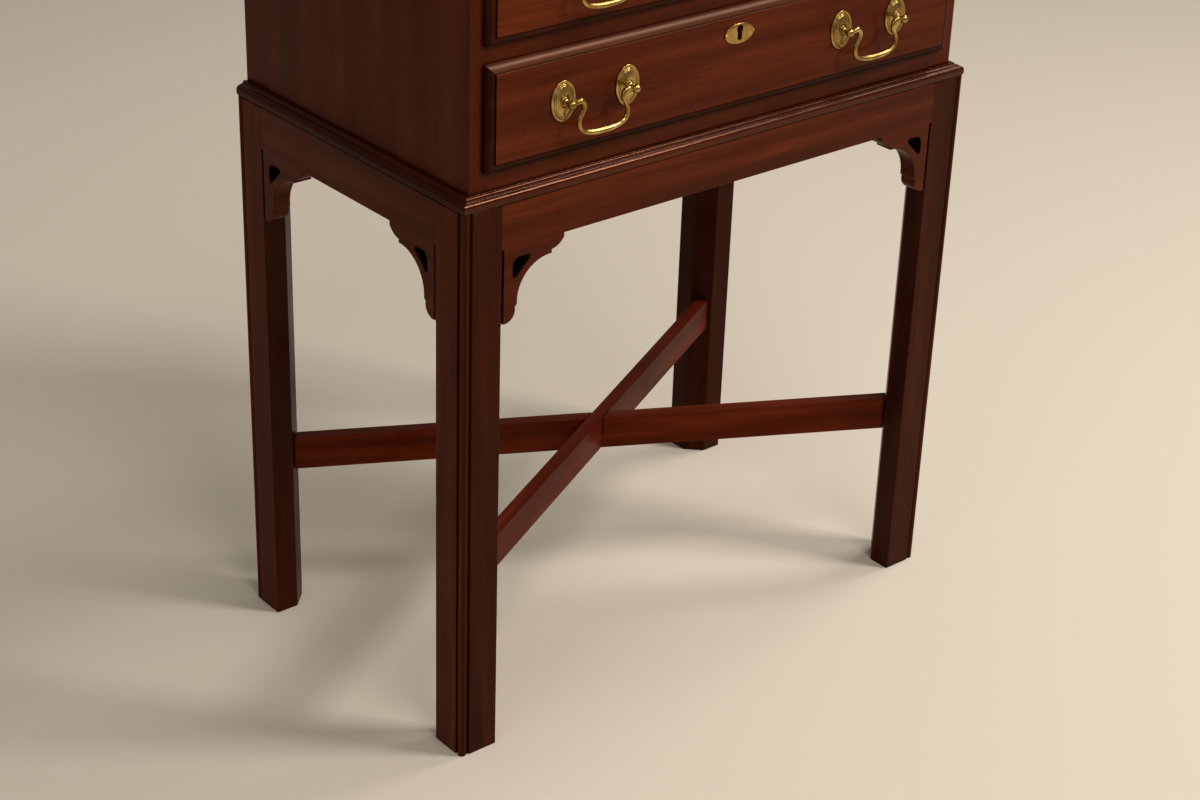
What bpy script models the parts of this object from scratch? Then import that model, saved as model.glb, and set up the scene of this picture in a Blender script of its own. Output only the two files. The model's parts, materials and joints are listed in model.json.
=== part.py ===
"""Flatware chest on a stand.

Four square legs joined by aprons, pierced brackets and crossed stretchers carry a case of two lipped
drawers under a fitted well, closed by a lid that lifts on a long hinge at the back.

Metres, +Z up, front towards -Y. The origin lies on the floor, under the middle of the chest's box.
"""
import math

import bmesh
import bpy
from mathutils import Matrix, Vector

# Clearances
GAP = 0.0003
DRAWER_CLEARANCE = 0.0010
SOCKET_CLEARANCE = 0.0003
PIN_CLEARANCE = 0.0003
MORTISE_CLEARANCE = 0.0010

# Stand
STAND_WIDTH = 0.580
LEG_SIZE = 0.0385
LEG_HEIGHT = 0.5245
LEG_INNER_CHAMFER = 0.016
CORNER_BEAD_RADIUS = 0.0038
QUIRK_WIDTH = 0.0012
QUIRK_DEPTH = 0.0019
APRON_HEIGHT = 0.0395
APRON_THICKNESS = 0.020

# Pierced corner brackets
BRACKET_CLEARANCE = 0.0022
BRACKET_REACH = 0.0631
BRACKET_DROP = 0.067
BRACKET_THICKNESS = 0.018
BRACKET_THROAT = 0.0349
TIP_EDGE = 0.0030
TIP_RUN = 0.0130
TIP_DEPTH = 0.0116
TIP_BULGE = 0.0018
TIP_STEP = 0.0033
HEEL_EDGE = 0.0010
HEEL_RUN = 0.0134
HEEL_DEPTH = 0.0124
HEEL_BULGE = 0.0043
HEEL_STEP = 0.0020
PIERCING_INSET = 0.0093
PIERCING_LENGTH = 0.0210
PIERCING_CORNER_RADIUS = 0.0075
PIERCING_TIP_RADIUS = 0.0022

# Crossed stretchers
STRETCHER_TOP = 0.1845
STRETCHER_HEIGHT = 0.0335
STRETCHER_THICKNESS = 0.0135

# Waist moulding between stand and case
SIDE_REVEAL = 0.0115
FRONT_REVEAL = 0.0100
MOULDING_FOOT = 0.0016
MOULDING_QUIRK = 0.0005
MOULDING_FACE = 0.0032
OVOLO_WIDTH = 0.0030
OVOLO_HEIGHT = 0.0034
OVOLO_STEP = 0.0006
COVE_WIDTH = 0.0036
COVE_HEIGHT = 0.0020
MOULDING_TOP = 0.0006

# Case
SIDE_THICKNESS = 0.019
BACK_THICKNESS = 0.008
FLOOR_THICKNESS = 0.012
HOUSING_DEPTH = 0.005
RAIL_DEPTH = 0.020
BOTTOM_RAIL_HEIGHT = 0.033
MIDDLE_RAIL_HEIGHT = 0.026
RUNNER_WIDTH = 0.030
DRAWER_OPENING_HEIGHT = 0.080
WELL_FRONT_HEIGHT = 0.1015
WELL_FRONT_THICKNESS = 0.016

# Fitted flatware insert
INSERT_FLOOR = 0.008
INSERT_TONGUE = 0.006
INSERT_HEIGHT = 0.050
INSERT_WALL = 0.007
INSERT_POCKETS = 5

# Lid
LID_THICKNESS = 0.018
LID_OVERHANG = 0.0115
LID_UNDERCUT = 0.0045
LID_UNDERCUT_HEIGHT = 0.0040
LID_EDGE = 0.0020
LID_THUMB_WIDTH = 0.0100
LID_THUMB_STEP = 0.0014

# Continuous hinge
HINGE_LENGTH = 0.440
HINGE_KNUCKLES = 11
HINGE_LEAF = 0.0014
KNUCKLE_RADIUS = 0.0026
HINGE_PIN_RADIUS = 0.0010

# Drawers
LIP_OVERLAP = 0.0055
LIP_EDGE = 0.0016
FACE_PROUD = 0.0080
THUMB_WIDTH = 0.0077
THUMB_STEP = 0.0012
THUMB_QUIRK = 0.0007
FRONT_BODY = 0.012
DRAWER_LENGTH = 0.300
DRAWER_REAR_CLEARANCE = 0.020
DRAWER_SIDE_HEIGHT = 0.070
DRAWER_SIDE = 0.010
DRAWER_BACK = 0.010
DRAWER_BOTTOM = 0.005
DRAWER_BOTTOM_RISE = 0.008
DRAWER_GROOVE = 0.004

# Swan-neck pulls
PULL_OFFSET = 0.1085
PULL_SPACING = 0.0675
PULL_RISE = 0.0025
ROSETTE_WIDTH = 0.0250
ROSETTE_HEIGHT = 0.0350
ROSETTE_RIM = 0.0010
ROSETTE_RIM_WIDTH = 0.0022
ROSETTE_STEP = 0.0006
ROSETTE_DOME = 0.0020
COLLAR_RADIUS = 0.0034
COLLAR_LENGTH = 0.0014
NECK_RADIUS = 0.0022
BALL_RADIUS = 0.0040
BALL_CAP_TURN = 165.0
POST_REACH = 0.0115
SOCKET_DEPTH = 0.0034
PIN_RADIUS = 0.0013
BAIL_DROP = 0.0280
BAIL_CURL = (0.0090, 0.0016)
BAIL_SHOULDER = (0.0140, -0.0050)
BAIL_WAIST = (0.0086, -0.0158)
BAIL_HEEL = (0.0140, -0.0256)
BAIL_BAR = 0.0230
BAIL_CURL_RADIUS = 0.0017
BAIL_WIRE_RADIUS = 0.0020
BAIL_GRIP_RADIUS = 0.0026

# Escutcheons and locks
ESCUTCHEON_WIDTH = 0.0325
ESCUTCHEON_HEIGHT = 0.0182
ESCUTCHEON_THICKNESS = 0.0012
ESCUTCHEON_EDGE = 0.0009
ESCUTCHEON_RISE = 0.0228
KEYHOLE_RADIUS = 0.0034
KEYHOLE_SLOT_WIDTH = 0.0050
KEYHOLE_LENGTH = 0.0134
KEYHOLE_RISE = 0.0041
LOCK_WIDTH = 0.050
LOCK_HEIGHT = 0.032
LOCK_DEPTH = 0.0085
BOLT_WIDTH = 0.018
BOLT_THICKNESS = 0.0045
BOLT_HEIGHT = 0.008
BOLT_TRAVEL = 0.006

# Facets on round work
ROUND_SIDES = 16
WIRE_SIDES = 8
ARC_STEPS = 6
WIRE_STEPS = 3

# Levels and faces that several pieces share
STAND_DEPTH = FRONT_REVEAL + DRAWER_LENGTH + DRAWER_REAR_CLEARANCE + BACK_THICKNESS
HALF_WIDTH = STAND_WIDTH / 2
HALF_DEPTH = STAND_DEPTH / 2
APRON_BOTTOM = LEG_HEIGHT - APRON_HEIGHT
CASE_HALF = HALF_WIDTH - SIDE_REVEAL
CASE_FRONT = -HALF_DEPTH + FRONT_REVEAL
CASE_BACK = HALF_DEPTH
CASE_BOTTOM = LEG_HEIGHT + GAP
INNER_HALF = CASE_HALF - SIDE_THICKNESS
INNER_BACK = CASE_BACK - BACK_THICKNESS
LIP_HALF = INNER_HALF + LIP_OVERLAP
LOWER_OPENING = CASE_BOTTOM + BOTTOM_RAIL_HEIGHT
MIDDLE_RAIL = LOWER_OPENING + DRAWER_OPENING_HEIGHT
UPPER_OPENING = MIDDLE_RAIL + MIDDLE_RAIL_HEIGHT
WELL_BOTTOM = UPPER_OPENING + DRAWER_OPENING_HEIGHT
CASE_TOP = WELL_BOTTOM + WELL_FRONT_HEIGHT
LID_BOTTOM = CASE_TOP + GAP
HINGE_Z = LID_BOTTOM - HINGE_LEAF - 1.5 * GAP
HINGE_Y = CASE_BACK + GAP + KNUCKLE_RADIUS
FACE_Y = CASE_FRONT - FACE_PROUD
BALL_FRONT = BALL_RADIUS * math.cos(math.radians(BALL_CAP_TURN))
FRONT_REACH = FACE_Y - POST_REACH + BALL_FRONT
BACK_REACH = HINGE_Y + KNUCKLE_RADIUS
DRAWER_TOP = DRAWER_OPENING_HEIGHT - DRAWER_CLEARANCE
CHEST_Y = -(FRONT_REACH + BACK_REACH) / 2

# Base colour (linear), roughness and metallic value of each finish
FINISHES = {
    "mahogany": ((0.062, 0.013, 0.004, 1.0), 0.28, 0.0),
    "drawer_wood": ((0.42, 0.26, 0.13, 1.0), 0.55, 0.0),
    "brass": ((0.36, 0.22, 0.060, 1.0), 0.30, 1.0),
    "lining": ((0.045, 0.018, 0.020, 1.0), 0.95, 0.0),
}


def clear_scene():
    """Removes every object so that the chest is the only thing in the file."""
    for obj in list(bpy.data.objects):
        bpy.data.objects.remove(obj, do_unlink=True)


def finish_material(finish):
    """Returns the finish's material, made the first time it is asked for."""
    material = bpy.data.materials.get(finish)
    if material is None:
        colour, roughness, metallic = FINISHES[finish]
        material = bpy.data.materials.new(finish)
        material.use_nodes = True
        shader = material.node_tree.nodes["Principled BSDF"]
        shader.inputs["Base Color"].default_value = colour
        shader.inputs["Roughness"].default_value = roughness
        shader.inputs["Metallic"].default_value = metallic
        material.diffuse_color = colour
    return material


def add_empty(name, parent, location):
    """Adds an empty that carries the pieces of one group."""
    empty = bpy.data.objects.new(name, None)
    bpy.context.scene.collection.objects.link(empty)
    empty.parent = parent
    empty.location = location
    return empty


def add_piece(name, shape, finish, parent, location=(0, 0, 0), smooth_angle=None):
    """Turns a bmesh into a named object with its finish; smooth_angle shades round work."""
    bmesh.ops.recalc_face_normals(shape, faces=shape.faces)
    mesh = bpy.data.meshes.new(name)
    shape.to_mesh(mesh)
    shape.free()
    if smooth_angle is not None:
        mesh.shade_smooth()
        mesh.set_sharp_from_angle(angle=math.radians(smooth_angle))
    mesh.materials.append(finish_material(finish))
    obj = bpy.data.objects.new(name, mesh)
    bpy.context.scene.collection.objects.link(obj)
    obj.parent = parent
    obj.location = location
    return obj


def combine(piece, name, shape, operation, location=(0, 0, 0)):
    """Cuts a hidden shape out of a piece, or joins it on; the shape shares the piece's parent."""
    tool = add_piece(name, shape, piece.data.materials[0].name, piece.parent, location)
    tool.hide_render = True
    tool.display_type = 'WIRE'
    boolean = piece.modifiers.new(name, 'BOOLEAN')
    boolean.operation = operation
    boolean.solver = 'EXACT'
    boolean.object = tool


def block(*corners):
    """A shape of one or more boxes, each given as its low and high corners."""
    shape = bmesh.new()
    for low, high in corners:
        size = Vector(high) - Vector(low)
        middle = (Vector(high) + Vector(low)) / 2
        matrix = Matrix.Translation(middle) @ Matrix.Diagonal((*size, 1.0))
        bmesh.ops.create_cube(shape, size=1.0, matrix=matrix)
    return shape


def prism(outline, axis, start, end, hole=None):
    """Extrudes an outline, with a hole if given, along 'X', 'Y' or 'Z' from start to end."""
    place = {
        'X': lambda u, v, w: Vector((w, u, v)),
        'Y': lambda u, v, w: Vector((u, w, v)),
        'Z': lambda u, v, w: Vector((u, v, w)),
    }[axis]
    shape = bmesh.new()
    edges = []
    for loop in filter(None, (outline, hole)):
        verts = [shape.verts.new(place(u, v, start)) for u, v in loop]
        edges += [shape.edges.new((a, b)) for a, b in zip(verts, verts[1:] + verts[:1])]
    bmesh.ops.triangle_fill(shape, use_beauty=True, use_dissolve=False, edges=edges)
    swept = bmesh.ops.extrude_face_region(shape, geom=shape.faces[:])
    moved = [item for item in swept["geom"] if isinstance(item, bmesh.types.BMVert)]
    bmesh.ops.translate(shape, verts=moved, vec=place(0, 0, end) - place(0, 0, start))
    return shape


def loft(rings):
    """Skins a row of rings that hold equal numbers of points, and closes both ends."""
    shape = bmesh.new()
    loops = [[shape.verts.new(point) for point in ring] for ring in rings]
    for near, far in zip(loops, loops[1:]):
        for i in range(len(near)):
            j = (i + 1) % len(near)
            shape.faces.new((near[i], near[j], far[j], far[i]))
    shape.faces.new(loops[0])
    shape.faces.new(loops[-1])
    return shape


def arc(centre, radius, start, end, steps=ARC_STEPS):
    """Points on a circle from start to end, in degrees."""
    angles = [math.radians(start + (end - start) * i / steps) for i in range(steps + 1)]
    return [(centre[0] + radius * math.cos(a), centre[1] + radius * math.sin(a)) for a in angles]


def mirrored(points):
    """The same points reflected in the diagonal and taken the other way round."""
    return [(v, u) for u, v in reversed(points)]


def oval(width, height, y, sides=ROUND_SIDES):
    """A ring of points on an upright oval at depth y."""
    turns = [2 * math.pi * i / sides for i in range(sides)]
    return [(width / 2 * math.cos(t), y, height / 2 * math.sin(t)) for t in turns]


def rectangle(half, front, back, z):
    """A level rectangle, centred across the chest."""
    return [(-half, front, z), (half, front, z), (half, back, z), (-half, back, z)]


def quarter_round(width, height, steps=ARC_STEPS):
    """Inset and rise along a thumbnail edge, from its outer foot to its inner top."""
    turns = [math.pi / 2 * i / steps for i in range(steps + 1)]
    return [(width * (1 - math.cos(t)), height * math.sin(t)) for t in turns]


# Stand

def leg_outline():
    """Plan of a leg, measured inwards from its outer corner: bead, quirks and inner chamfer."""
    bead = CORNER_BEAD_RADIUS
    quirk = 2 * bead + QUIRK_WIDTH
    first = math.degrees(math.acos((QUIRK_DEPTH - bead) / bead))
    rounded = arc((bead, bead), bead, first, 450 - first)
    chamfer = LEG_SIZE - LEG_INNER_CHAMFER
    outer = [(quirk, 0), (LEG_SIZE, 0), (LEG_SIZE, chamfer), (chamfer, LEG_SIZE), (0, LEG_SIZE), (0, quirk)]
    return outer + [(QUIRK_DEPTH, quirk)] + rounded + [(quirk, QUIRK_DEPTH)]


def add_legs(chest):
    """Four legs, each with its bead on the outer corner of the stand."""
    for row, sy in (("front", -1), ("rear", 1)):
        for side, sx in (("left", -1), ("right", 1)):
            plan = [(-sx * u, -sy * v) for u, v in leg_outline()]
            corner = (sx * HALF_WIDTH, sy * HALF_DEPTH, 0)
            add_piece(f"leg_{row}_{side}", prism(plan, 'Z', 0, LEG_HEIGHT), "mahogany", chest, corner)


def add_aprons(chest):
    """Four aprons between the legs, flush with their outer faces."""
    along_x = HALF_WIDTH - LEG_SIZE - GAP
    along_y = HALF_DEPTH - LEG_SIZE - GAP
    for name, sy in (("front", -1), ("rear", 1)):
        faces = sorted((sy * HALF_DEPTH, sy * (HALF_DEPTH - APRON_THICKNESS)))
        shape = block(((-along_x, faces[0], APRON_BOTTOM), (along_x, faces[1], LEG_HEIGHT)))
        add_piece(f"apron_{name}", shape, "mahogany", chest)
    for name, sx in (("left", -1), ("right", 1)):
        faces = sorted((sx * HALF_WIDTH, sx * (HALF_WIDTH - APRON_THICKNESS)))
        shape = block(((faces[0], -along_y, APRON_BOTTOM), (faces[1], along_y, LEG_HEIGHT)))
        add_piece(f"apron_{name}", shape, "mahogany", chest)


def arc_through(start, middle, end, steps):
    """Points on the circle through three points, from the first to the last."""
    (ax, ay), (bx, by), (cx, cy) = start, middle, end
    d = 2 * (ax * (by - cy) + bx * (cy - ay) + cx * (ay - by))
    a2, b2, c2 = ax * ax + ay * ay, bx * bx + by * by, cx * cx + cy * cy
    ux = (a2 * (by - cy) + b2 * (cy - ay) + c2 * (ay - by)) / d
    uy = (a2 * (cx - bx) + b2 * (ax - cx) + c2 * (bx - ax)) / d
    first = math.atan2(ay - uy, ax - ux)
    sweep = math.atan2(cy - uy, cx - ux) - first
    sweep = math.atan2(math.sin(sweep), math.cos(sweep))
    radius = math.hypot(ax - ux, ay - uy)
    return arc((ux, uy), radius, math.degrees(first), math.degrees(first + sweep), steps)


def lobe(start, end, bulge):
    """A rounded edge between two points that swells away from the bracket's inner corner."""
    across = Vector((start[1] - end[1], end[0] - start[0])).normalized() * -bulge
    middle = (Vector(start) + Vector(end)) / 2 + across
    return arc_through(start, middle, end, ARC_STEPS)


def bracket_outline():
    """Face of a bracket: distance from its edge beside the leg, distance below the apron."""
    tip = lobe((BRACKET_REACH, TIP_EDGE), (BRACKET_REACH - TIP_RUN, TIP_DEPTH), TIP_BULGE)
    heel = lobe((HEEL_DEPTH, BRACKET_DROP - HEEL_RUN), (HEEL_EDGE, BRACKET_DROP), HEEL_BULGE)
    tip_cusp = (BRACKET_REACH - TIP_RUN, TIP_DEPTH + TIP_STEP)
    heel_cusp = (HEEL_DEPTH + HEEL_STEP, BRACKET_DROP - HEEL_RUN - HEEL_STEP)
    throat = BRACKET_THROAT * math.sqrt(0.5)
    hollow = arc_through(tip_cusp, (throat, throat), heel_cusp, 2 * ARC_STEPS)
    return [(0, 0), (BRACKET_REACH, 0)] + tip + hollow + heel + [(0, BRACKET_DROP)]


def piercing_outline():
    """The bracket's hole: a right-angled triangle with one broad and two tight rounded corners."""
    near = PIERCING_INSET
    tip = PIERCING_TIP_RADIUS
    corner_centre = near + PIERCING_CORNER_RADIUS
    corner = arc((corner_centre, corner_centre), PIERCING_CORNER_RADIUS, 180, 270)
    tip_centre = (near + PIERCING_LENGTH - tip * (1 + math.sqrt(2)), near + tip)
    point = arc(tip_centre, tip, -90, 45, 3)
    return corner + point + mirrored(point)


def add_brackets(chest):
    """Pierced brackets under the front and side aprons, flush with the legs but clear of their sides."""
    top = APRON_BOTTOM - GAP
    leg_x = HALF_WIDTH - LEG_SIZE - BRACKET_CLEARANCE
    leg_y = HALF_DEPTH - LEG_SIZE - BRACKET_CLEARANCE
    loops = (bracket_outline(), piercing_outline())
    for side, sx in (("left", -1), ("right", 1)):
        face, hole = [[(sx * (leg_x - u), top - v) for u, v in loop] for loop in loops]
        shape = prism(face, 'Y', -HALF_DEPTH, -HALF_DEPTH + BRACKET_THICKNESS, hole)
        add_piece(f"bracket_front_{side}", shape, "mahogany", chest)
        for row, sy in (("front", -1), ("rear", 1)):
            face, hole = [[(sy * (leg_y - u), top - v) for u, v in loop] for loop in loops]
            shape = prism(face, 'X', sx * HALF_WIDTH, sx * (HALF_WIDTH - BRACKET_THICKNESS), hole)
            add_piece(f"bracket_{side}_{row}", shape, "mahogany", chest)


def stretcher_plan(sign, thickness, over=0.0):
    """Plan of a stretcher that runs from one leg's inner chamfer to the opposite one's.

    The sign is 1 from front left to rear right and -1 from rear left to front right; over lengthens it.
    """
    seat = LEG_SIZE - LEG_INNER_CHAMFER / 2
    run = Vector((HALF_WIDTH - seat, HALF_DEPTH - seat)).normalized()
    limit = HALF_WIDTH + HALF_DEPTH - 2 * seat - GAP * math.sqrt(2) + over
    plan = []
    for edge, end in ((-1, -1), (-1, 1), (1, 1), (1, -1)):
        offset = Vector((-run.y, run.x)) * edge * thickness / 2
        along = (end * limit - offset.x - offset.y) / (run.x + run.y)
        point = offset + run * along
        plan.append((point.x, sign * point.y))
    return plan


def add_stretchers(chest):
    """Two stretchers half-lapped where they cross; the one from front left runs over the other."""
    bottom = STRETCHER_TOP - STRETCHER_HEIGHT
    lap = STRETCHER_TOP - STRETCHER_HEIGHT / 2
    spare = STRETCHER_HEIGHT
    for name, sign, low, high in (
        ("stretcher_over", 1, bottom - spare, lap + GAP / 2),
        ("stretcher_under", -1, lap - GAP / 2, STRETCHER_TOP + spare),
    ):
        plan = stretcher_plan(sign, STRETCHER_THICKNESS)
        piece = add_piece(name, prism(plan, 'Z', bottom, STRETCHER_TOP), "mahogany", chest)
        notch = stretcher_plan(-sign, STRETCHER_THICKNESS + 2 * GAP, spare)
        combine(piece, f"{name}_notch", prism(notch, 'Z', low, high), 'DIFFERENCE')


def moulding_profile(reveal):
    """Section of the waist moulding: distance in from the legs' faces, height above the leg tops."""
    foot = GAP + MOULDING_FOOT
    shoulder = foot + MOULDING_FACE
    crown = shoulder + OVOLO_HEIGHT
    cove_foot = (OVOLO_WIDTH + OVOLO_STEP, crown + OVOLO_STEP)
    ovolo = [(u, shoulder + v) for u, v in quarter_round(OVOLO_WIDTH, OVOLO_HEIGHT)]
    cove = [(cove_foot[0] + v, cove_foot[1] + u) for u, v in quarter_round(COVE_HEIGHT, COVE_WIDTH)]
    top = cove[-1][1] + MOULDING_TOP
    against = reveal - GAP
    outer = [(against, GAP), (MOULDING_QUIRK, GAP), (MOULDING_QUIRK, foot), (0, foot)]
    inner = [(OVOLO_WIDTH, cove_foot[1])] + cove + [(cove[-1][0], top), (against, top)]
    return outer + ovolo + inner


def add_mouldings(chest):
    """Three strips of moulding round the foot of the case, mitred at the front corners."""
    mitre = GAP / 2
    ends = []
    profile = moulding_profile(FRONT_REVEAL)
    for sx in (-1, 1):
        ends.append([(sx * (HALF_WIDTH - u - mitre), u - HALF_DEPTH, LEG_HEIGHT + v) for u, v in profile])
    add_piece("moulding_front", loft(ends), "mahogany", chest, smooth_angle=40)
    profile = moulding_profile(SIDE_REVEAL)
    for side, sx in (("left", -1), ("right", 1)):
        front = [(sx * (HALF_WIDTH - u), u - HALF_DEPTH + mitre, LEG_HEIGHT + v) for u, v in profile]
        back = [(sx * (HALF_WIDTH - u), CASE_BACK, LEG_HEIGHT + v) for u, v in profile]
        add_piece(f"moulding_{side}", loft([front, back]), "mahogany", chest, smooth_angle=40)


# Case

def add_case_sides(chest):
    """Side panels with housings for the floor and the insert, stopped short of both edges."""
    bed = INNER_HALF + HOUSING_DEPTH
    clear = INNER_HALF - HOUSING_DEPTH
    housings = (
        (CASE_FRONT + RAIL_DEPTH, LOWER_OPENING - FLOOR_THICKNESS - GAP, LOWER_OPENING + GAP),
        (CASE_FRONT + WELL_FRONT_THICKNESS, WELL_BOTTOM, WELL_BOTTOM + INSERT_TONGUE + 2 * GAP),
    )
    for side, sx in (("left", -1), ("right", 1)):
        near, far = sorted((sx * INNER_HALF, sx * CASE_HALF))
        panel = block(((near, CASE_FRONT, CASE_BOTTOM), (far, CASE_BACK, CASE_TOP)))
        piece = add_piece(f"case_side_{side}", panel, "mahogany", chest)
        start, end = sorted((sx * clear, sx * bed))
        rooms = [((start, front, low), (end, INNER_BACK, high)) for front, low, high in housings]
        combine(piece, f"case_side_{side}_housings", block(*rooms), 'DIFFERENCE')


def add_case_boards(chest):
    """Back, floor, rails, runners and the fixed front of the well."""
    half = INNER_HALF - GAP
    rail_back = CASE_FRONT + RAIL_DEPTH
    back_top = HINGE_Z - HINGE_LEAF - 1.5 * GAP
    board_back = INNER_BACK - GAP
    tongue = INNER_HALF + HOUSING_DEPTH - GAP
    runner_inner = half - RUNNER_WIDTH
    well_back = CASE_FRONT + WELL_FRONT_THICKNESS
    boards = {
        "case_back": ((-half, INNER_BACK, CASE_BOTTOM), (half, CASE_BACK, back_top), "drawer_wood"),
        "case_floor": (
            (-tongue, rail_back + GAP, LOWER_OPENING - FLOOR_THICKNESS), (tongue, board_back, LOWER_OPENING),
            "drawer_wood",
        ),
        "rail_bottom": ((-half, CASE_FRONT, CASE_BOTTOM), (half, rail_back, LOWER_OPENING), "mahogany"),
        "rail_middle": ((-half, CASE_FRONT, MIDDLE_RAIL), (half, rail_back, UPPER_OPENING), "mahogany"),
        "runner_left": (
            (-half, rail_back + GAP, MIDDLE_RAIL), (-runner_inner, board_back, UPPER_OPENING), "drawer_wood",
        ),
        "runner_right": (
            (runner_inner, rail_back + GAP, MIDDLE_RAIL), (half, board_back, UPPER_OPENING), "drawer_wood",
        ),
        "well_front": ((-half, CASE_FRONT, WELL_BOTTOM), (half, well_back, CASE_TOP), "mahogany"),
    }
    pieces = {name: add_piece(name, block((low, high)), finish, chest)
              for name, (low, high, finish) in boards.items()}
    strike = BOLT_TRAVEL + MORTISE_CLEARANCE
    for name, level in (("rail_middle", MIDDLE_RAIL), ("well_front", WELL_BOTTOM)):
        low, high = bolt_room(MORTISE_CLEARANCE)
        mortise = block((
            (low[0], CASE_FRONT + low[1], level - strike),
            (high[0], CASE_FRONT + high[1], level + strike),
        ))
        combine(pieces[name], f"{name}_mortise", mortise, 'DIFFERENCE')


def add_insert(chest):
    """The fitted insert of the well: a floor let into the sides and a row of open pockets."""
    bottom = WELL_BOTTOM + GAP
    ledge = bottom + INSERT_TONGUE
    floor_top = bottom + INSERT_FLOOR
    top = floor_top + INSERT_HEIGHT
    front = CASE_FRONT + WELL_FRONT_THICKNESS + GAP
    back = INNER_BACK - GAP
    tongue = INNER_HALF + HOUSING_DEPTH - GAP
    half = INNER_HALF - GAP
    right = [(tongue, bottom), (tongue, ledge), (half, ledge), (half, top)]
    section = right + [(-x, z) for x, z in reversed(right)]
    insert = add_piece("flatware_insert", prism(section, 'Y', front, back), "lining", chest)
    pitch = (2 * half - INSERT_WALL) / INSERT_POCKETS
    pockets = []
    for i in range(INSERT_POCKETS):
        left = -half + INSERT_WALL + i * pitch
        low = (left, front + INSERT_WALL, floor_top)
        high = (left + pitch - INSERT_WALL, back - INSERT_WALL, top + INSERT_HEIGHT)
        pockets.append((low, high))
    combine(insert, "insert_pockets", block(*pockets), 'DIFFERENCE')


# Lid and its hinge

def add_lid(lid):
    """The lid: a board with a moulded edge at its front and ends, square and flush at the back."""
    edge_low = LID_UNDERCUT_HEIGHT
    edge_high = edge_low + LID_EDGE
    thumb_rise = LID_THICKNESS - LID_THUMB_STEP - edge_high
    steps = [(LID_OVERHANG - LID_UNDERCUT, 0), (LID_OVERHANG, edge_low)]
    steps += [(LID_OVERHANG - u, edge_high + v) for u, v in quarter_round(LID_THUMB_WIDTH, thumb_rise)]
    steps += [(LID_OVERHANG - LID_THUMB_WIDTH, LID_THICKNESS)]
    base = LID_BOTTOM - HINGE_Z
    rings = [
        rectangle(CASE_HALF + out, CASE_FRONT - out - HINGE_Y, CASE_BACK - HINGE_Y, base + z)
        for out, z in steps
    ]
    add_piece("lid", loft(rings), "mahogany", lid, smooth_angle=40)


def knuckle_outline(side):
    """Section of a knuckle and its tab, about the pin; side is 1 for the lid's leaf, -1 for the case's."""
    near = GAP / 2
    far = near + HINGE_LEAF
    tab = -KNUCKLE_RADIUS - 2 * GAP
    near_turn = math.degrees(math.asin(near / KNUCKLE_RADIUS))
    far_turn = math.degrees(math.asin(far / KNUCKLE_RADIUS))
    barrel = arc((0, 0), KNUCKLE_RADIUS, far_turn - 180, near_turn + 180, 2 * ARC_STEPS)
    outline = [(tab, -far)] + barrel + [(tab, -near)]
    return [(y, -side * z) for y, z in outline]


def add_hinge(chest, lid):
    """A continuous hinge: the case's leaf with bored knuckles, the lid's leaf with its knuckles and pin."""
    pitch = HINGE_LENGTH / HINGE_KNUCKLES
    start = -HINGE_LENGTH / 2
    leaf_edge = CASE_BACK - HINGE_Y
    leaf_inner = leaf_edge - BACK_THICKNESS
    for name, parent, origin, side in (
        ("hinge_leaf_case", chest, (0, HINGE_Y, HINGE_Z), -1),
        ("hinge_leaf_lid", lid, (0, 0, 0), 1),
    ):
        faces = sorted((side * GAP / 2, side * (GAP / 2 + HINGE_LEAF)))
        plate = block(((start, leaf_inner, faces[0]), (-start, leaf_edge, faces[1])))
        leaf = add_piece(name, plate, "brass", parent, origin)
        knuckles = bmesh.new()
        first = 0 if side > 0 else 1
        for i in range(first, HINGE_KNUCKLES, 2):
            outline = knuckle_outline(side)
            piece = prism(outline, 'X', start + i * pitch + GAP / 2, start + (i + 1) * pitch - GAP / 2)
            mesh = bpy.data.meshes.new("knuckle")
            piece.to_mesh(mesh)
            piece.free()
            knuckles.from_mesh(mesh)
            bpy.data.meshes.remove(mesh)
        combine(leaf, f"{name}_knuckles", knuckles, 'UNION', origin)
        if side > 0:
            pin = prism(arc((0, 0), HINGE_PIN_RADIUS, 0, 330, 11), 'X', start + GAP, -start - GAP)
            combine(leaf, "hinge_pin", pin, 'UNION', origin)
        else:
            bore = prism(arc((0, 0), HINGE_PIN_RADIUS + PIN_CLEARANCE, 0, 330, 11), 'X', start, -start)
            combine(leaf, "hinge_bore", bore, 'DIFFERENCE', origin)


# Drawers

def bolt_room(clearance):
    """Low and high corners, across and in depth, of a lock bolt in a shut drawer, from the case's front."""
    half = BOLT_WIDTH / 2 + clearance
    reach = BOLT_THICKNESS / 2 + clearance
    middle = FRONT_BODY - LOCK_DEPTH / 2
    return (-half, middle - reach), (half, middle + reach)


def keyhole_outline():
    """A keyhole about its escutcheon's centre: a circle with a round-ended slot below it."""
    half = KEYHOLE_SLOT_WIDTH / 2
    turn = math.degrees(math.asin(half / KEYHOLE_RADIUS))
    rounded = arc((0, KEYHOLE_RISE), KEYHOLE_RADIUS, turn - 90, 270 - turn, 2 * ARC_STEPS)
    foot = KEYHOLE_RISE + KEYHOLE_RADIUS - KEYHOLE_LENGTH
    return rounded + arc((0, foot + half), half, 180, 360)


def upright(half, low, high, y):
    """An upright rectangle at depth y, centred across the drawer."""
    return [(-half, y, low), (half, y, low), (half, y, high), (-half, y, high)]


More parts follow.
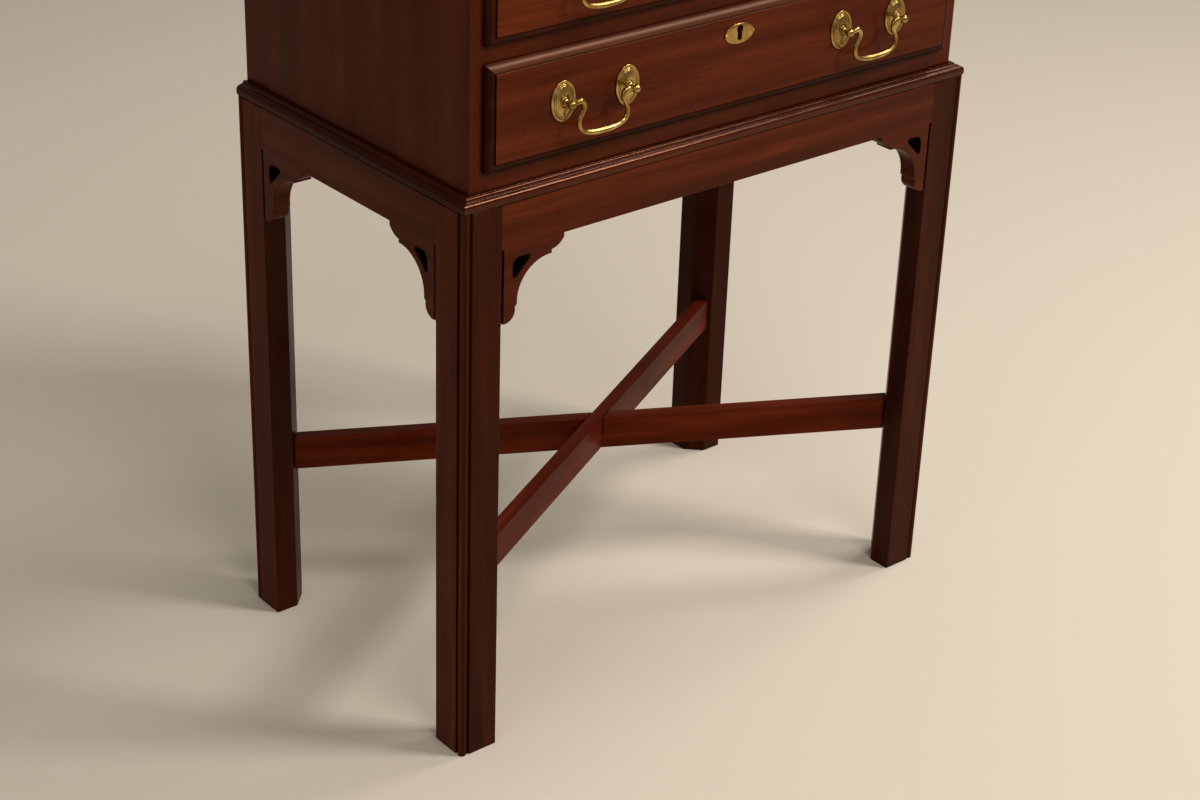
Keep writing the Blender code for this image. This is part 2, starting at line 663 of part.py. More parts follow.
def add_drawer_front(name, slide):
    """A lipped front: thumbnail edge, quirk, flat field, and the body that enters the opening."""
    crown = FACE_PROUD - THUMB_STEP
    steps = [(0, -GAP)]
    steps += [(u, -LIP_EDGE - v) for u, v in quarter_round(THUMB_WIDTH - THUMB_QUIRK, crown - LIP_EDGE)]
    steps += [(THUMB_WIDTH - THUMB_QUIRK / 2, THUMB_QUIRK - crown), (THUMB_WIDTH, -FACE_PROUD)]
    lip_top = DRAWER_OPENING_HEIGHT + LIP_OVERLAP
    body = (INNER_HALF - DRAWER_CLEARANCE, GAP, DRAWER_TOP)
    rings = [upright(*body, FRONT_BODY), upright(*body, -GAP)]
    rings += [upright(LIP_HALF - inset, inset - LIP_OVERLAP, lip_top - inset, y) for inset, y in steps]
    return add_piece(f"{name}_front", loft(rings), "mahogany", slide, smooth_angle=25)


def add_drawer_box(name, slide):
    """The sides, back and bottom behind a drawer's front; the bottom lies in grooves in the sides."""
    half = INNER_HALF - DRAWER_CLEARANCE
    inner = half - DRAWER_SIDE
    front = FRONT_BODY + GAP
    top = GAP + DRAWER_SIDE_HEIGHT
    panel_low = GAP + DRAWER_BOTTOM_RISE
    panel_top = panel_low + DRAWER_BOTTOM
    bed = inner + DRAWER_GROOVE
    groove_low = panel_low - GAP
    groove_top = panel_top + GAP
    groove = [(inner, groove_low), (bed, groove_low), (bed, groove_top), (inner, groove_top)]
    section = [(half, GAP), (inner, GAP)] + groove + [(inner, top), (half, top)]
    for side, sx in (("left", -1), ("right", 1)):
        outline = [(sx * x, z) for x, z in section]
        add_piece(f"{name}_side_{side}", prism(outline, 'Y', front, DRAWER_LENGTH), "drawer_wood", slide)
    back_half = inner - GAP
    back_face = DRAWER_LENGTH - DRAWER_BACK
    back = block(((-back_half, back_face, panel_top + GAP), (back_half, DRAWER_LENGTH, top)))
    add_piece(f"{name}_back", back, "drawer_wood", slide)
    panel_half = bed - GAP
    panel = block(((-panel_half, front, panel_low), (panel_half, DRAWER_LENGTH, panel_top)))
    add_piece(f"{name}_bottom", panel, "drawer_wood", slide)


def add_lock(name, slide, front):
    """A lock let into the back of the front, its sliding bolt, and the keyhole with its escutcheon."""
    half = LOCK_WIDTH / 2
    face = FRONT_BODY - LOCK_DEPTH
    foot = DRAWER_TOP - LOCK_HEIGHT
    over = LOCK_HEIGHT
    recess_half = half + GAP
    recess = block((
        (-recess_half, face - GAP, foot - GAP),
        (recess_half, FRONT_BODY + over, DRAWER_TOP + over),
    ))
    combine(front, f"{name}_lock_recess", recess, 'DIFFERENCE')
    key_z = DRAWER_OPENING_HEIGHT / 2 + ESCUTCHEON_RISE
    keyhole = keyhole_outline()
    key_at = (0, 0, key_z)
    combine(front, f"{name}_keyhole", prism(keyhole, 'Y', -FACE_PROUD - over, face), 'DIFFERENCE', key_at)

    body = block(((-half, face, foot), (half, FRONT_BODY, DRAWER_TOP)))
    lock = add_piece(f"{name}_lock", body, "brass", slide)
    low, high = bolt_room(GAP)
    bolt_foot = DRAWER_TOP - BOLT_HEIGHT
    channel = block(((*low, bolt_foot - GAP), (*high, DRAWER_TOP + over)))
    combine(lock, f"{name}_lock_channel", channel, 'DIFFERENCE')
    key_room = prism(keyhole, 'Y', face - over, FRONT_BODY - LOCK_DEPTH / 2)
    combine(lock, f"{name}_lock_keyhole", key_room, 'DIFFERENCE', key_at)

    low, high = bolt_room(0)
    bolt_at = (0, 0, bolt_foot)
    add_piece(f"{name}_lock_bolt", block(((*low, 0), (*high, BOLT_HEIGHT))), "brass", slide, bolt_at)

    plate_edge = 2 * ESCUTCHEON_EDGE
    levels = (
        (ESCUTCHEON_WIDTH, ESCUTCHEON_HEIGHT, 0),
        (ESCUTCHEON_WIDTH, ESCUTCHEON_HEIGHT, ESCUTCHEON_EDGE - ESCUTCHEON_THICKNESS),
        (ESCUTCHEON_WIDTH - plate_edge, ESCUTCHEON_HEIGHT - plate_edge, -ESCUTCHEON_THICKNESS),
    )
    plate_at = (0, -FACE_PROUD - GAP, key_z)
    plate = loft([oval(*level, 2 * ROUND_SIDES) for level in levels])
    escutcheon = add_piece(f"{name}_escutcheon", plate, "brass", slide, plate_at)
    plate_hole = prism(keyhole, 'Y', -over, over)
    combine(escutcheon, f"{name}_escutcheon_keyhole", plate_hole, 'DIFFERENCE', plate_at)


# Pulls

def post_rings():
    """Rings of a post, about its ball's centre: oval rosette, collar, neck and ball."""
    seat = POST_REACH - GAP
    valley = seat - ROSETTE_RIM
    crown = valley - ROSETTE_DOME
    width = ROSETTE_WIDTH - 2 * ROSETTE_RIM_WIDTH
    height = ROSETTE_HEIGHT - 2 * ROSETTE_RIM_WIDTH
    collar = 2 * COLLAR_RADIUS
    neck = 2 * NECK_RADIUS
    levels = [
        (ROSETTE_WIDTH, ROSETTE_HEIGHT, seat),
        (ROSETTE_WIDTH, ROSETTE_HEIGHT, valley),
        (ROSETTE_WIDTH - ROSETTE_RIM_WIDTH, ROSETTE_HEIGHT - ROSETTE_RIM_WIDTH, valley - ROSETTE_STEP),
        (width, height, valley),
    ]
    for share in (0.35, 0.7):
        rise = ROSETTE_DOME * math.sin(math.pi / 2 * share)
        levels.append((width + (collar - width) * share, height + (collar - height) * share, valley - rise))
    levels += [
        (collar, collar, crown),
        (collar, collar, crown - COLLAR_LENGTH),
        (neck, neck, crown - COLLAR_LENGTH),
    ]
    first = math.asin(NECK_RADIUS / BALL_RADIUS)
    last = math.radians(BALL_CAP_TURN)
    for i in range(ARC_STEPS + 1):
        turn = first + (last - first) * i / ARC_STEPS
        around = 2 * BALL_RADIUS * math.sin(turn)
        levels.append((around, around, BALL_RADIUS * math.cos(turn)))
    return [oval(*level) for level in levels]


def smooth_path(points, steps):
    """A smooth curve through the points, each given as x, z and wire radius."""
    ends = [points[0]] + points + [points[-1]]
    path = []
    for before, near, far, after in zip(ends, ends[1:], ends[2:], ends[3:]):
        for i in range(steps):
            t = i / steps
            weights = (
                t * (-1 + t * (2 - t)) / 2,
                1 + t * t * (3 * t - 5) / 2,
                t * (1 + t * (4 - 3 * t)) / 2,
                t * t * (t - 1) / 2,
            )
            places = zip(before, near, far, after)
            path.append([sum(w * value for w, value in zip(weights, values)) for values in places])
    return path + [list(points[-1])]


def bail_path():
    """Centre line and radius of a bail, about the middle of its pivot axis."""
    half = PULL_SPACING / 2
    root = BALL_RADIUS + 2 * SOCKET_CLEARANCE
    inner_end = BALL_RADIUS - SOCKET_DEPTH + SOCKET_CLEARANCE
    curve = [
        (root - half, 0, PIN_RADIUS),
        (BAIL_CURL[0] - half, BAIL_CURL[1], BAIL_CURL_RADIUS),
        (BAIL_SHOULDER[0] - half, BAIL_SHOULDER[1], BAIL_WIRE_RADIUS),
        (BAIL_WAIST[0] - half, BAIL_WAIST[1], BAIL_WIRE_RADIUS),
        (BAIL_HEEL[0] - half, BAIL_HEEL[1], BAIL_WIRE_RADIUS),
        (BAIL_BAR - half, -BAIL_DROP, BAIL_GRIP_RADIUS),
    ]
    pin = (inner_end - half, 0, PIN_RADIUS)
    other = [(-x, z, radius) for x, z, radius in reversed(curve)]
    middle = smooth_path(curve + other, WIRE_STEPS)
    return [pin] + middle + [(-pin[0], pin[1], pin[2])]


def bail_rings():
    """Round sections along a bail's path."""
    path = bail_path()
    rings = []
    for i, (x, z, radius) in enumerate(path):
        before, after = path[max(i - 1, 0)], path[min(i + 1, len(path) - 1)]
        run = Vector((after[0] - before[0], after[1] - before[1])).normalized()
        ring = []
        for j in range(WIRE_SIDES):
            turn = 2 * math.pi * (j + 0.5) / WIRE_SIDES
            across = radius * math.cos(turn)
            ring.append((x - run.y * across, radius * math.sin(turn), z + run.x * across))
        rings.append(ring)
    return rings


def add_pulls(name, slide):
    """Two bail pulls on a drawer, each with two posts; the bail's pins turn in the posts' balls."""
    y = -FACE_PROUD - POST_REACH
    z = DRAWER_OPENING_HEIGHT / 2 + PULL_RISE
    socket_foot = BALL_RADIUS - SOCKET_DEPTH
    for side, sx in (("left", -1), ("right", 1)):
        centre = sx * (LIP_HALF - PULL_OFFSET)
        for end, ex in (("left", -1), ("right", 1)):
            at = (centre + ex * PULL_SPACING / 2, y, z)
            label = f"{side}_{end}"
            post = add_piece(f"{name}_post_{label}", loft(post_rings()), "brass", slide, at, smooth_angle=50)
            circle = arc((0, 0), PIN_RADIUS + SOCKET_CLEARANCE, 0, 330, 11)
            socket = prism(circle, 'X', -ex * socket_foot, -ex * 2 * BALL_RADIUS)
            combine(post, f"{name}_socket_{label}", socket, 'DIFFERENCE', at)
        add_piece(f"{name}_bail_{side}", loft(bail_rings()), "brass", slide, (centre, y, z), smooth_angle=60)


def build_chest():
    """Builds every piece of the chest."""
    clear_scene()
    chest = add_empty("chest", None, (0, CHEST_Y, 0))
    lid = add_empty("lid_hinge", chest, (0, HINGE_Y, HINGE_Z))
    add_legs(chest)
    add_aprons(chest)
    add_brackets(chest)
    add_stretchers(chest)
    add_mouldings(chest)
    add_case_sides(chest)
    add_case_boards(chest)
    add_insert(chest)
    add_lid(lid)
    add_hinge(chest, lid)
    for name, opening in (("drawer_lower", LOWER_OPENING), ("drawer_upper", UPPER_OPENING)):
        slide = add_empty(f"{name}_slide", chest, (0, CASE_FRONT, opening))
        front = add_drawer_front(name, slide)
        add_drawer_box(name, slide)
        add_lock(name, slide, front)
        add_pulls(name, slide)


build_chest()
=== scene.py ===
"""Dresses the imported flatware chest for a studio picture.

The wooden pieces get eased arrises and a lacquered mahogany finish, the pulls, escutcheons and hinge are
aged brass, the insides of the drawers are pale stock and the fitted insert is covered in felt.

Metres, +Z up, front towards -Y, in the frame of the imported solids.
"""
from __future__ import annotations

import json
import logging
import math
from dataclasses import dataclass, field, replace
from enum import Enum
from typing import Callable, Sequence

import bmesh
import bpy
from mathutils import Euler, Matrix, Vector

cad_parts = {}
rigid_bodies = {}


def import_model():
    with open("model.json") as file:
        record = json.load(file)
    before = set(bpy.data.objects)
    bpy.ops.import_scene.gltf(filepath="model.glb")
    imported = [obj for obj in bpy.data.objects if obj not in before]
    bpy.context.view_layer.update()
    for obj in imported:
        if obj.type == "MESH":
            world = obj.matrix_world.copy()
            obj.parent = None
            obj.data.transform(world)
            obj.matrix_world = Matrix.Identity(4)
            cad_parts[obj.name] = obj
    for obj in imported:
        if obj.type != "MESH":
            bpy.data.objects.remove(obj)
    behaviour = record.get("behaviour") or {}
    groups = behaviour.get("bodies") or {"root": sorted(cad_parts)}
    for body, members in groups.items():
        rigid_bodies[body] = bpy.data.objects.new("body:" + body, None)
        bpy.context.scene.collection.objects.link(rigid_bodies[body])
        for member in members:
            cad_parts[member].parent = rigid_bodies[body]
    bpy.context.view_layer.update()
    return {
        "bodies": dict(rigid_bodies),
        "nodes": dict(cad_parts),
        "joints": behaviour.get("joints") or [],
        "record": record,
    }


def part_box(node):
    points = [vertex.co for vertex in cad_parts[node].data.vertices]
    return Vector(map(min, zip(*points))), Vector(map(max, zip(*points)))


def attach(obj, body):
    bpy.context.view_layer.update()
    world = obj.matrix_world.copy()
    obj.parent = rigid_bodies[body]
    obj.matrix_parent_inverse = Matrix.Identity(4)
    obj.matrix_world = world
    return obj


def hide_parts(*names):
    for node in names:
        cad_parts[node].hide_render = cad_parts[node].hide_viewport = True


LOG = logging.getLogger("flatware_chest")
MM = 0.001
# Points of a solid that are closer than this are one point.
WELD = 0.002 * MM
# A point closer than this to an edge or a face lies on it.
TOUCH = 0.05 * MM
# Faces that turn by less than FLAT are one flat face; those that turn by ARRIS or more meet in an arris.
FLAT = math.radians(0.3)
ARRIS = math.radians(28)
# Faces of an eased piece that turn by more than this are shaded apart.
SHARP = math.radians(50)
Ring = list[tuple[float, float, float]]
Shape = bmesh.types.BMesh
Socket = bpy.types.NodeSocket
Tree = bpy.types.NodeTree


# Node trees

def linear(hex_code: str) -> tuple[float, float, float, float]:
    """Turns an sRGB hex value into a linear colour.

    Args:
        hex_code: The colour as "#rrggbb".

    Returns:
        Linear red, green and blue, with an alpha of 1.
    """
    channels = [int(hex_code[i:i + 2], 16) / 255 for i in (1, 3, 5)]
    values = [c / 12.92 if c <= 0.04045 else ((c + 0.055) / 1.055) ** 2.4 for c in channels]
    return (values[0], values[1], values[2], 1.0)


def add_node(
    tree: Tree,
    kind: str,
    inputs: dict | None = None,
    out: int | str = 0,
    stops: Sequence[tuple[float, str]] = (),
    **settings,
) -> Socket | None:
    """Adds a node with its settings, values and links.

    Args:
        tree: The tree that the node goes into.
        kind: The node's type.
        inputs: A value, or a socket to link from, for each input by name or index.
        out: Name or index of the output that is wanted.
        stops: Positions and sRGB hex values of a colour ramp.
        settings: Properties of the node.

    Returns:
        The output, or None if the node has none.
    """
    node = tree.nodes.new(kind)
    for key, value in settings.items():
        setattr(node, key, value)
    for key, value in (inputs or {}).items():
        if isinstance(value, Socket):
            tree.links.new(value, node.inputs[key])
        else:
            node.inputs[key].default_value = value
    for _ in stops[2:]:
        node.color_ramp.elements.new(1.0)
    for i, (position, colour) in enumerate(stops):
        node.color_ramp.elements[i].position = position
        node.color_ramp.elements[i].color = linear(colour)
    return node.outputs[out] if node.outputs else None


# Finishes. A node that mixes colours has its factor at 0, its colours at 6 and 7, and its result at 2.

class Grain(Enum):
    """Direction of a board's grain, as the turn in degrees that brings it onto X."""

    ACROSS = (0.0, 0.0, 0.0)
    DEEP = (0.0, 0.0, -90.0)
    UPRIGHT = (0.0, 90.0, 0.0)
    RISING = (0.0, 0.0, -28.1)
    FALLING = (0.0, 0.0, 28.1)


@dataclass(frozen=True)
class Finish:
    """A surface; each kind of finish says what goes into the sockets of its shader."""

    name: str

    def surface(self, tree: Tree, place: Socket) -> dict:
        """Builds the finish's patterns.

        Args:
            tree: The material's tree.
            place: The place on the piece, in its own coordinates.

        Returns:
            A value, or a socket to link from, for each input of the shader.
        """
        raise NotImplementedError

    def material(self) -> bpy.types.Material:
        """Makes the finish's material the first time it is asked for.

        Returns:
            The material.
        """
        known = bpy.data.materials.get(self.name)
        if known:
            return known
        material = bpy.data.materials.new(self.name)
        material.use_nodes = True
        tree = material.node_tree
        tree.nodes.clear()
        place = add_node(tree, "ShaderNodeTexCoord", out="Object")
        shader = add_node(tree, "ShaderNodeBsdfPrincipled", self.surface(tree, place))
        add_node(tree, "ShaderNodeOutputMaterial", {"Surface": shader})
        return material


@dataclass(frozen=True)
class Wood(Finish):
    """A board whose grain runs one way."""

    grain: Grain
    shift: tuple[float, float, float] = (0.0, 0.0, 0.0)

    def board(self, tree: Tree, place: Socket) -> Socket:
        """Turns and shifts the place on a piece so that the grain runs along X."""
        turn = Euler([math.radians(angle) for angle in self.grain.value])
        return add_node(
            tree, "ShaderNodeMapping", {"Vector": place, "Rotation": turn, "Location": self.shift}
        )

    @staticmethod
    def waves(
        tree: Tree,
        board: Socket,
        marks: Sequence[tuple[tuple[float, float], float]],
        out: int = 0,
    ) -> list[Socket]:
        """Adds a noise, stretched along the grain, for each kind of mark in the wood.

        Args:
            tree: The material's tree.
            board: The place on the board, with the grain along X.
            marks: A mark's length and width in millimetres, and the detail of its noise.
            out: The noise's output: 0 for its strength, 1 for its colour.

        Returns:
            The output of each noise.
        """
        noises = []
        for (length, width), detail in marks:
            per_metre = (1 / (length * MM), 1 / (width * MM), 1 / (width * MM))
            stretched = add_node(tree, "ShaderNodeVectorMath", {0: board, 1: per_metre}, operation='MULTIPLY')
            noises.append(add_node(
                tree, "ShaderNodeTexNoise", {"Vector": stretched, "Scale": 1.0, "Detail": detail}, out
            ))
        return noises


@dataclass(frozen=True)
class LacqueredWood(Wood):
    """Mahogany under a satin lacquer: broad ribbons of tone, short dark pores, and glaze and painted shade in
    recesses.
    """

    # Dark, middle and light tone of the ribbons.
    tones: tuple[str, str, str] = ("#381203", "#4b1904", "#5f2409")
    pore: str = "#220b04"
    # Recesses and crevices beside other pieces darken towards this colour: real glaze, and painted shade.
    glaze_and_shade: str = "#0e0402"
    bend_mm: tuple[float, float] = (260.0, 90.0)
    sway_mm: float = 22.0
    ribbon_mm: tuple[float, float] = (330.0, 15.0)
    streak_mm: tuple[float, float] = (70.0, 2.6)
    # Real pores are 0.2 mm wide; they are drawn twice as wide so that they show.
    pore_mm: tuple[float, float] = (13.0, 0.45)
    recess_mm: float = 5.0
    rub_mm: float = 71.4286
    relief_mm: float = 0.2
    roughness: tuple[float, float] = (0.30, 0.44)
    sheen_level: float = 0.09
    sheen_tint: str = "#ffb27c"
    coat: float = 0.045
    coat_roughness: float = 0.12

    def surface(self, tree: Tree, place: Socket) -> dict:
        """Builds the ribbons, streaks, pores, glaze and rubbed lacquer.

        Args:
            tree: The material's tree.
            place: The place on the piece.

        Returns:
            The inputs of the shader.
        """
        dark, middle, light = self.tones
        board = self.board(tree, place)
        # The grain bends a little along a board.
        sway = self.waves(tree, board, [(self.bend_mm, 2.0)], out=1)[0]
        reach = (0.0, self.sway_mm * MM, self.sway_mm * MM)
        bent = add_node(tree, "ShaderNodeVectorMath", {0: sway, 1: reach, 2: board}, operation='MULTIPLY_ADD')
        ribbon, streak, pore = self.waves(
            tree, bent, ((self.ribbon_mm, 3.0), (self.streak_mm, 2.0), (self.pore_mm, 0.0))
        )
        tone = add_node(
            tree, "ShaderNodeValToRGB", {0: ribbon}, stops=((0.30, dark), (0.50, middle), (0.72, light))
        )
        shade = add_node(
            tree, "ShaderNodeMapRange", {"Value": streak, "From Min": 0.30, "From Max": 0.70, "To Max": 0.45}
        )
        streaked = add_node(
            tree, "ShaderNodeMix", {0: shade, 6: tone, 7: linear(dark)}, out=2, data_type='RGBA'
        )
        pitted = add_node(
            tree, "ShaderNodeMapRange", {"Value": pore, "From Min": 0.60, "From Max": 0.72, "To Max": 0.4}
        )
        pored = add_node(
            tree, "ShaderNodeMix", {0: pitted, 6: streaked, 7: linear(self.pore)}, out=2, data_type='RGBA'
        )
        # Ambient occlusion darkens recesses and spots near other pieces towards the glaze colour: partly real
        # glaze, partly painted shade.
        hollow = add_node(
            tree, "ShaderNodeAmbientOcclusion", {"Distance": self.recess_mm * MM}, out="AO", samples=6
        )
        open_face = add_node(
            tree, "ShaderNodeMapRange", {"Value": hollow, "From Min": 0.38, "From Max": 0.82}
        )
        colour = add_node(
            tree, "ShaderNodeMix", {0: open_face, 6: linear(self.glaze_and_shade), 7: pored}, out=2, data_type='RGBA'
        )
        rubbed = add_node(
            tree, "ShaderNodeTexNoise", {"Vector": board, "Scale": 1 / (self.rub_mm * MM), "Detail": 4.0}
        )
        roughness = add_node(tree, "ShaderNodeMapRange", {
            "Value": rubbed, "From Min": 0.3, "From Max": 0.7,
            "To Min": self.roughness[0], "To Max": self.roughness[1],
        })
        relief = add_node(tree, "ShaderNodeMath", {0: streak, 1: 0.35, 2: pitted}, operation='MULTIPLY_ADD')
        normal = add_node(
            tree, "ShaderNodeBump",
            {"Height": relief, "Strength": 0.10, "Distance": self.relief_mm * MM}, invert=True,
        )
        return {
            "Base Color": colour, "Roughness": roughness, "Normal": normal,
            "Specular IOR Level": self.sheen_level, "Specular Tint": linear(self.sheen_tint),
            "Coat Weight": self.coat, "Coat Roughness": self.coat_roughness,
        }


@dataclass(frozen=True)
class PaleStock(Wood):
    """Poplar, planed and thinly sealed: quiet tan bands along the board with a few browner streaks."""

    early: str = "#b8946c"
    late: str = "#a9845c"
    streak: str = "#8f6b49"
    band_mm: tuple[float, float] = (520.0, 24.0)
    fibre_mm: tuple[float, float] = (26.0, 0.8)
    relief_mm: float = 0.15
    roughness: float = 0.58

    def surface(self, tree: Tree, place: Socket) -> dict:
        """Builds the bands and fibres.

        Args:
            tree: The material's tree.
            place: The place on the piece.

        Returns:
            The inputs of the shader.
        """
        board = self.board(tree, place)
        band, fibre = self.waves(tree, board, ((self.band_mm, 4.0), (self.fibre_mm, 1.0)))
        tone = add_node(
            tree, "ShaderNodeValToRGB", {0: band},
            stops=((0.32, self.streak), (0.45, self.late), (0.62, self.early)),
        )
        faint = add_node(
            tree, "ShaderNodeMapRange", {"Value": fibre, "From Min": 0.35, "From Max": 0.75, "To Max": 0.35}
        )
        colour = add_node(
            tree, "ShaderNodeMix", {0: faint, 6: tone, 7: linear(self.late)}, out=2, data_type='RGBA'
        )
        normal = add_node(
            tree, "ShaderNodeBump", {"Height": fibre, "Strength": 0.2, "Distance": self.relief_mm * MM}
        )
        return {"Base Color": colour, "Roughness": self.roughness, "Normal": normal}


@dataclass(frozen=True)
class AgedBrass(Finish):
    """Cast brass, polished long ago: bright on the crowns, duller in blotches, brown in the recesses."""

    dull: str = "#7d6032"
    middle: str = "#a48346"
    bright: str = "#c8a769"
    patina: str = "#1c1209"
    blotch_mm: float = 14.0
    # Fine scratches are a tenth of a millimetre apart; they are drawn at half a millimetre to show at all.
    scratch_mm: float = 0.5
    recess_mm: float = 3.0
    relief_mm: float = 0.1
    roughness: tuple[float, float] = (0.20, 0.32)

    def surface(self, tree: Tree, place: Socket) -> dict:
        """Builds the blotches, scratches and patina.

        Args:
            tree: The material's tree.
            place: The place on the piece.

        Returns:
            The inputs of the shader.
        """
        blotch, scratch = [
            add_node(tree, "ShaderNodeTexNoise", {"Vector": place, "Scale": 1 / (mm * MM), "Detail": detail})
            for mm, detail in ((self.blotch_mm, 4.0), (self.scratch_mm, 1.0))
        ]
        tone = add_node(
            tree, "ShaderNodeValToRGB", {0: blotch},
            stops=((0.25, self.dull), (0.50, self.middle), (0.75, self.bright)),
        )
        hollow = add_node(
            tree, "ShaderNodeAmbientOcclusion", {"Distance": self.recess_mm * MM}, out="AO",
            samples=8, only_local=True,
        )
        open_face = add_node(
            tree, "ShaderNodeMapRange", {"Value": hollow, "From Min": 0.30, "From Max": 0.85}
        )
        colour = add_node(
            tree, "ShaderNodeMix", {0: open_face, 6: linear(self.patina), 7: tone}, out=2, data_type='RGBA'
        )
        worn = add_node(tree, "ShaderNodeMath", {0: scratch, 1: 0.25, 2: blotch}, operation='MULTIPLY_ADD')
        roughness = add_node(tree, "ShaderNodeMapRange", {
            "Value": worn, "From Min": 0.40, "From Max": 0.85,
            "To Min": self.roughness[1], "To Max": self.roughness[0],
        })
        normal = add_node(
            tree, "ShaderNodeBump", {"Height": scratch, "Strength": 0.03, "Distance": self.relief_mm * MM}
        )
        return {"Base Color": colour, "Metallic": 1.0, "Roughness": roughness, "Normal": normal}


@dataclass(frozen=True)
class Felt(Finish):
    """Dyed wool felt: matt, with a soft nap that clumps in patches a few millimetres across."""

    deep: str = "#2b1710"
    nap: str = "#4b2c1e"
    halo: str = "#a06f50"
    clump_mm: float = 5.0
    fibre_mm: float = 0.6
    relief_mm: float = 0.3

    def surface(self, tree: Tree, place: Socket) -> dict:
        """Builds the clumps and fibres of the nap.

        Args:
            tree: The material's tree.
            place: The place on the piece.

        Returns:
            The inputs of the shader.
        """
        clump, fibre = [
            add_node(tree, "ShaderNodeTexNoise", {"Vector": place, "Scale": 1 / (mm * MM), "Detail": detail})
            for mm, detail in ((self.clump_mm, 3.0), (self.fibre_mm, 2.0))
        ]
        mixed = add_node(tree, "ShaderNodeMath", {0: fibre, 1: 0.6, 2: clump}, operation='MULTIPLY_ADD')
        colour = add_node(
            tree, "ShaderNodeValToRGB", {0: mixed}, stops=((0.55, self.deep), (1.05, self.nap))
        )
        normal = add_node(
            tree, "ShaderNodeBump", {"Height": fibre, "Strength": 0.5, "Distance": self.relief_mm * MM}
        )
        return {
            "Base Color": colour, "Roughness": 0.95, "Normal": normal,
            "Sheen Weight": 0.2, "Sheen Roughness": 0.6, "Sheen Tint": linear(self.halo),
        }


@dataclass(frozen=True)
class StudioPaper(Finish):
    """Pale seamless paper: matt, with a barely visible tooth."""

    name: str = "studio_paper"
    colour: str = "#cdc3b3"
    tooth_mm: float = 1.42857
    relief_mm: float = 0.1

    def surface(self, tree: Tree, place: Socket) -> dict:
        """Builds the tooth.

        Args:
            tree: The material's tree.
            place: The place on the floor.

        Returns:
            The inputs of the shader.
        """
        tooth = add_node(tree, "ShaderNodeTexNoise", {"Vector": place, "Scale": 1 / (self.tooth_mm * MM)})
        normal = add_node(
            tree, "ShaderNodeBump", {"Height": tooth, "Strength": 0.05, "Distance": self.relief_mm * MM}
        )
        return {"Base Color": linear(self.colour), "Roughness": 0.8, "Normal": normal}


LEG_WOOD = LacqueredWood(
    "mahogany_upright", Grain.UPRIGHT, tones=("#260c03", "#341104", "#431908"), glaze_and_shade="#280d05",
    sheen_level=0.06, coat=0.04,
)
# A leg's outer side gets paler tones than its front.
LEG_SIDE_WOOD = replace(
    LEG_WOOD, name="mahogany_upright_flat_sawn", tones=("#3c1405", "#4d1b07", "#60270d")
)
MOULDING_WOOD = LacqueredWood(
    "mahogany_moulding", Grain.ACROSS, shift=(0.3, 0.1, 0.7), tones=("#260b03", "#371205", "#491b08"),
    roughness=(0.13, 0.20), sheen_level=0.3, sheen_tint="#ff9c58", coat=0.04, coat_roughness=0.06,
)
SIDE_MOULDING_WOOD = replace(
    MOULDING_WOOD, name="mahogany_side_moulding", grain=Grain.DEEP, shift=(0.9, 0.4, 0.2),
    sheen_level=0.1, coat=0.02,
)
RAIL_WOOD = LacqueredWood("mahogany_across", Grain.ACROSS, shift=(0.3, 0.1, 0.7))
SIDE_RAIL_WOOD = LacqueredWood("mahogany_deep", Grain.DEEP, shift=(0.9, 0.4, 0.2))
# The walls of the brackets' piercings are painted nearly black: painted shade inside the holes.
PIERCING_SHADE_WOOD = LacqueredWood(
    "stained_piercing", Grain.ACROSS, tones=("#0a0402", "#100603", "#170904"), sheen_level=0.05, coat=0.0,
)
PANEL_WOOD = LacqueredWood("mahogany_panel", Grain.UPRIGHT, shift=(1.7, 0.3, 0.1), ribbon_mm=(480.0, 34.0))
DRAWER_WOOD = LacqueredWood(
    "mahogany_drawer_front", Grain.ACROSS, shift=(0.6, 0.8, 0.35), ribbon_mm=(260.0, 12.0),
    tones=("#3c1304", "#4f1b05", "#64270b"),
)
# Upper edges of the drawers get a glossier, pinker copy of the front (painted highlight); the others a dark
# copy (painted shade).
LIT_EDGE_WOOD = replace(
    DRAWER_WOOD, name="mahogany_rubbed_edge", tones=("#38150a", "#4a1e0e", "#5c2913"),
    roughness=(0.44, 0.52), sheen_level=0.45, sheen_tint="#ffc094", coat=0.13, coat_roughness=0.42,
)
SHADED_EDGE_WOOD = replace(
    DRAWER_WOOD, name="mahogany_glazed_edge", tones=("#1f0903", "#2b0e04", "#391407"),
    sheen_level=0.05, coat=0.02,
)
OVER_WOOD = LacqueredWood(
    "mahogany_rising_stretcher", Grain.RISING, shift=(0.2, 0.5, 0.4),
    tones=("#3e1104", "#521806", "#66240c"), sheen_level=0.04, coat=0.0,
)
UNDER_WOOD = replace(
    OVER_WOOD, name="mahogany_falling_stretcher", grain=Grain.FALLING, shift=(1.1, 0.2, 0.6),
    sheen_level=0.07, coat=0.03,
)
BRASS = AgedBrass("aged_brass")
# The wall of the keyhole is painted nearly black: painted shade inside the hole.
KEYHOLE_SHADE_BRASS = AgedBrass(
    "blackened_brass", dull="#0d0905", middle="#130d07", bright="#1b130a", roughness=(0.45, 0.6)
)
FELT = Felt("tarnish_proof_felt")
STOCK_DEEP = PaleStock("poplar_deep", Grain.DEEP)
STOCK_ACROSS = PaleStock("poplar_across", Grain.ACROSS)
BACK_STOCK = PaleStock(
    "stained_poplar_back", Grain.ACROSS, early="#6f4527", late="#5f381e", streak="#4b2a15", roughness=0.5,
)


# Mesh work

def link_piece(name: str, mesh: bpy.types.Mesh, *finishes: Finish) -> bpy.types.Object:
    """Makes an object of a mesh and gives it its finishes.

    Args:
        name: The piece's name.
        mesh: The piece's mesh, in place.
        finishes: The finish of each material slot.

    Returns:
        The new object.
    """
    piece = bpy.data.objects.new(name, mesh)
    bpy.context.scene.collection.objects.link(piece)
    for finish in finishes:
        mesh.materials.append(finish.material())
    return piece


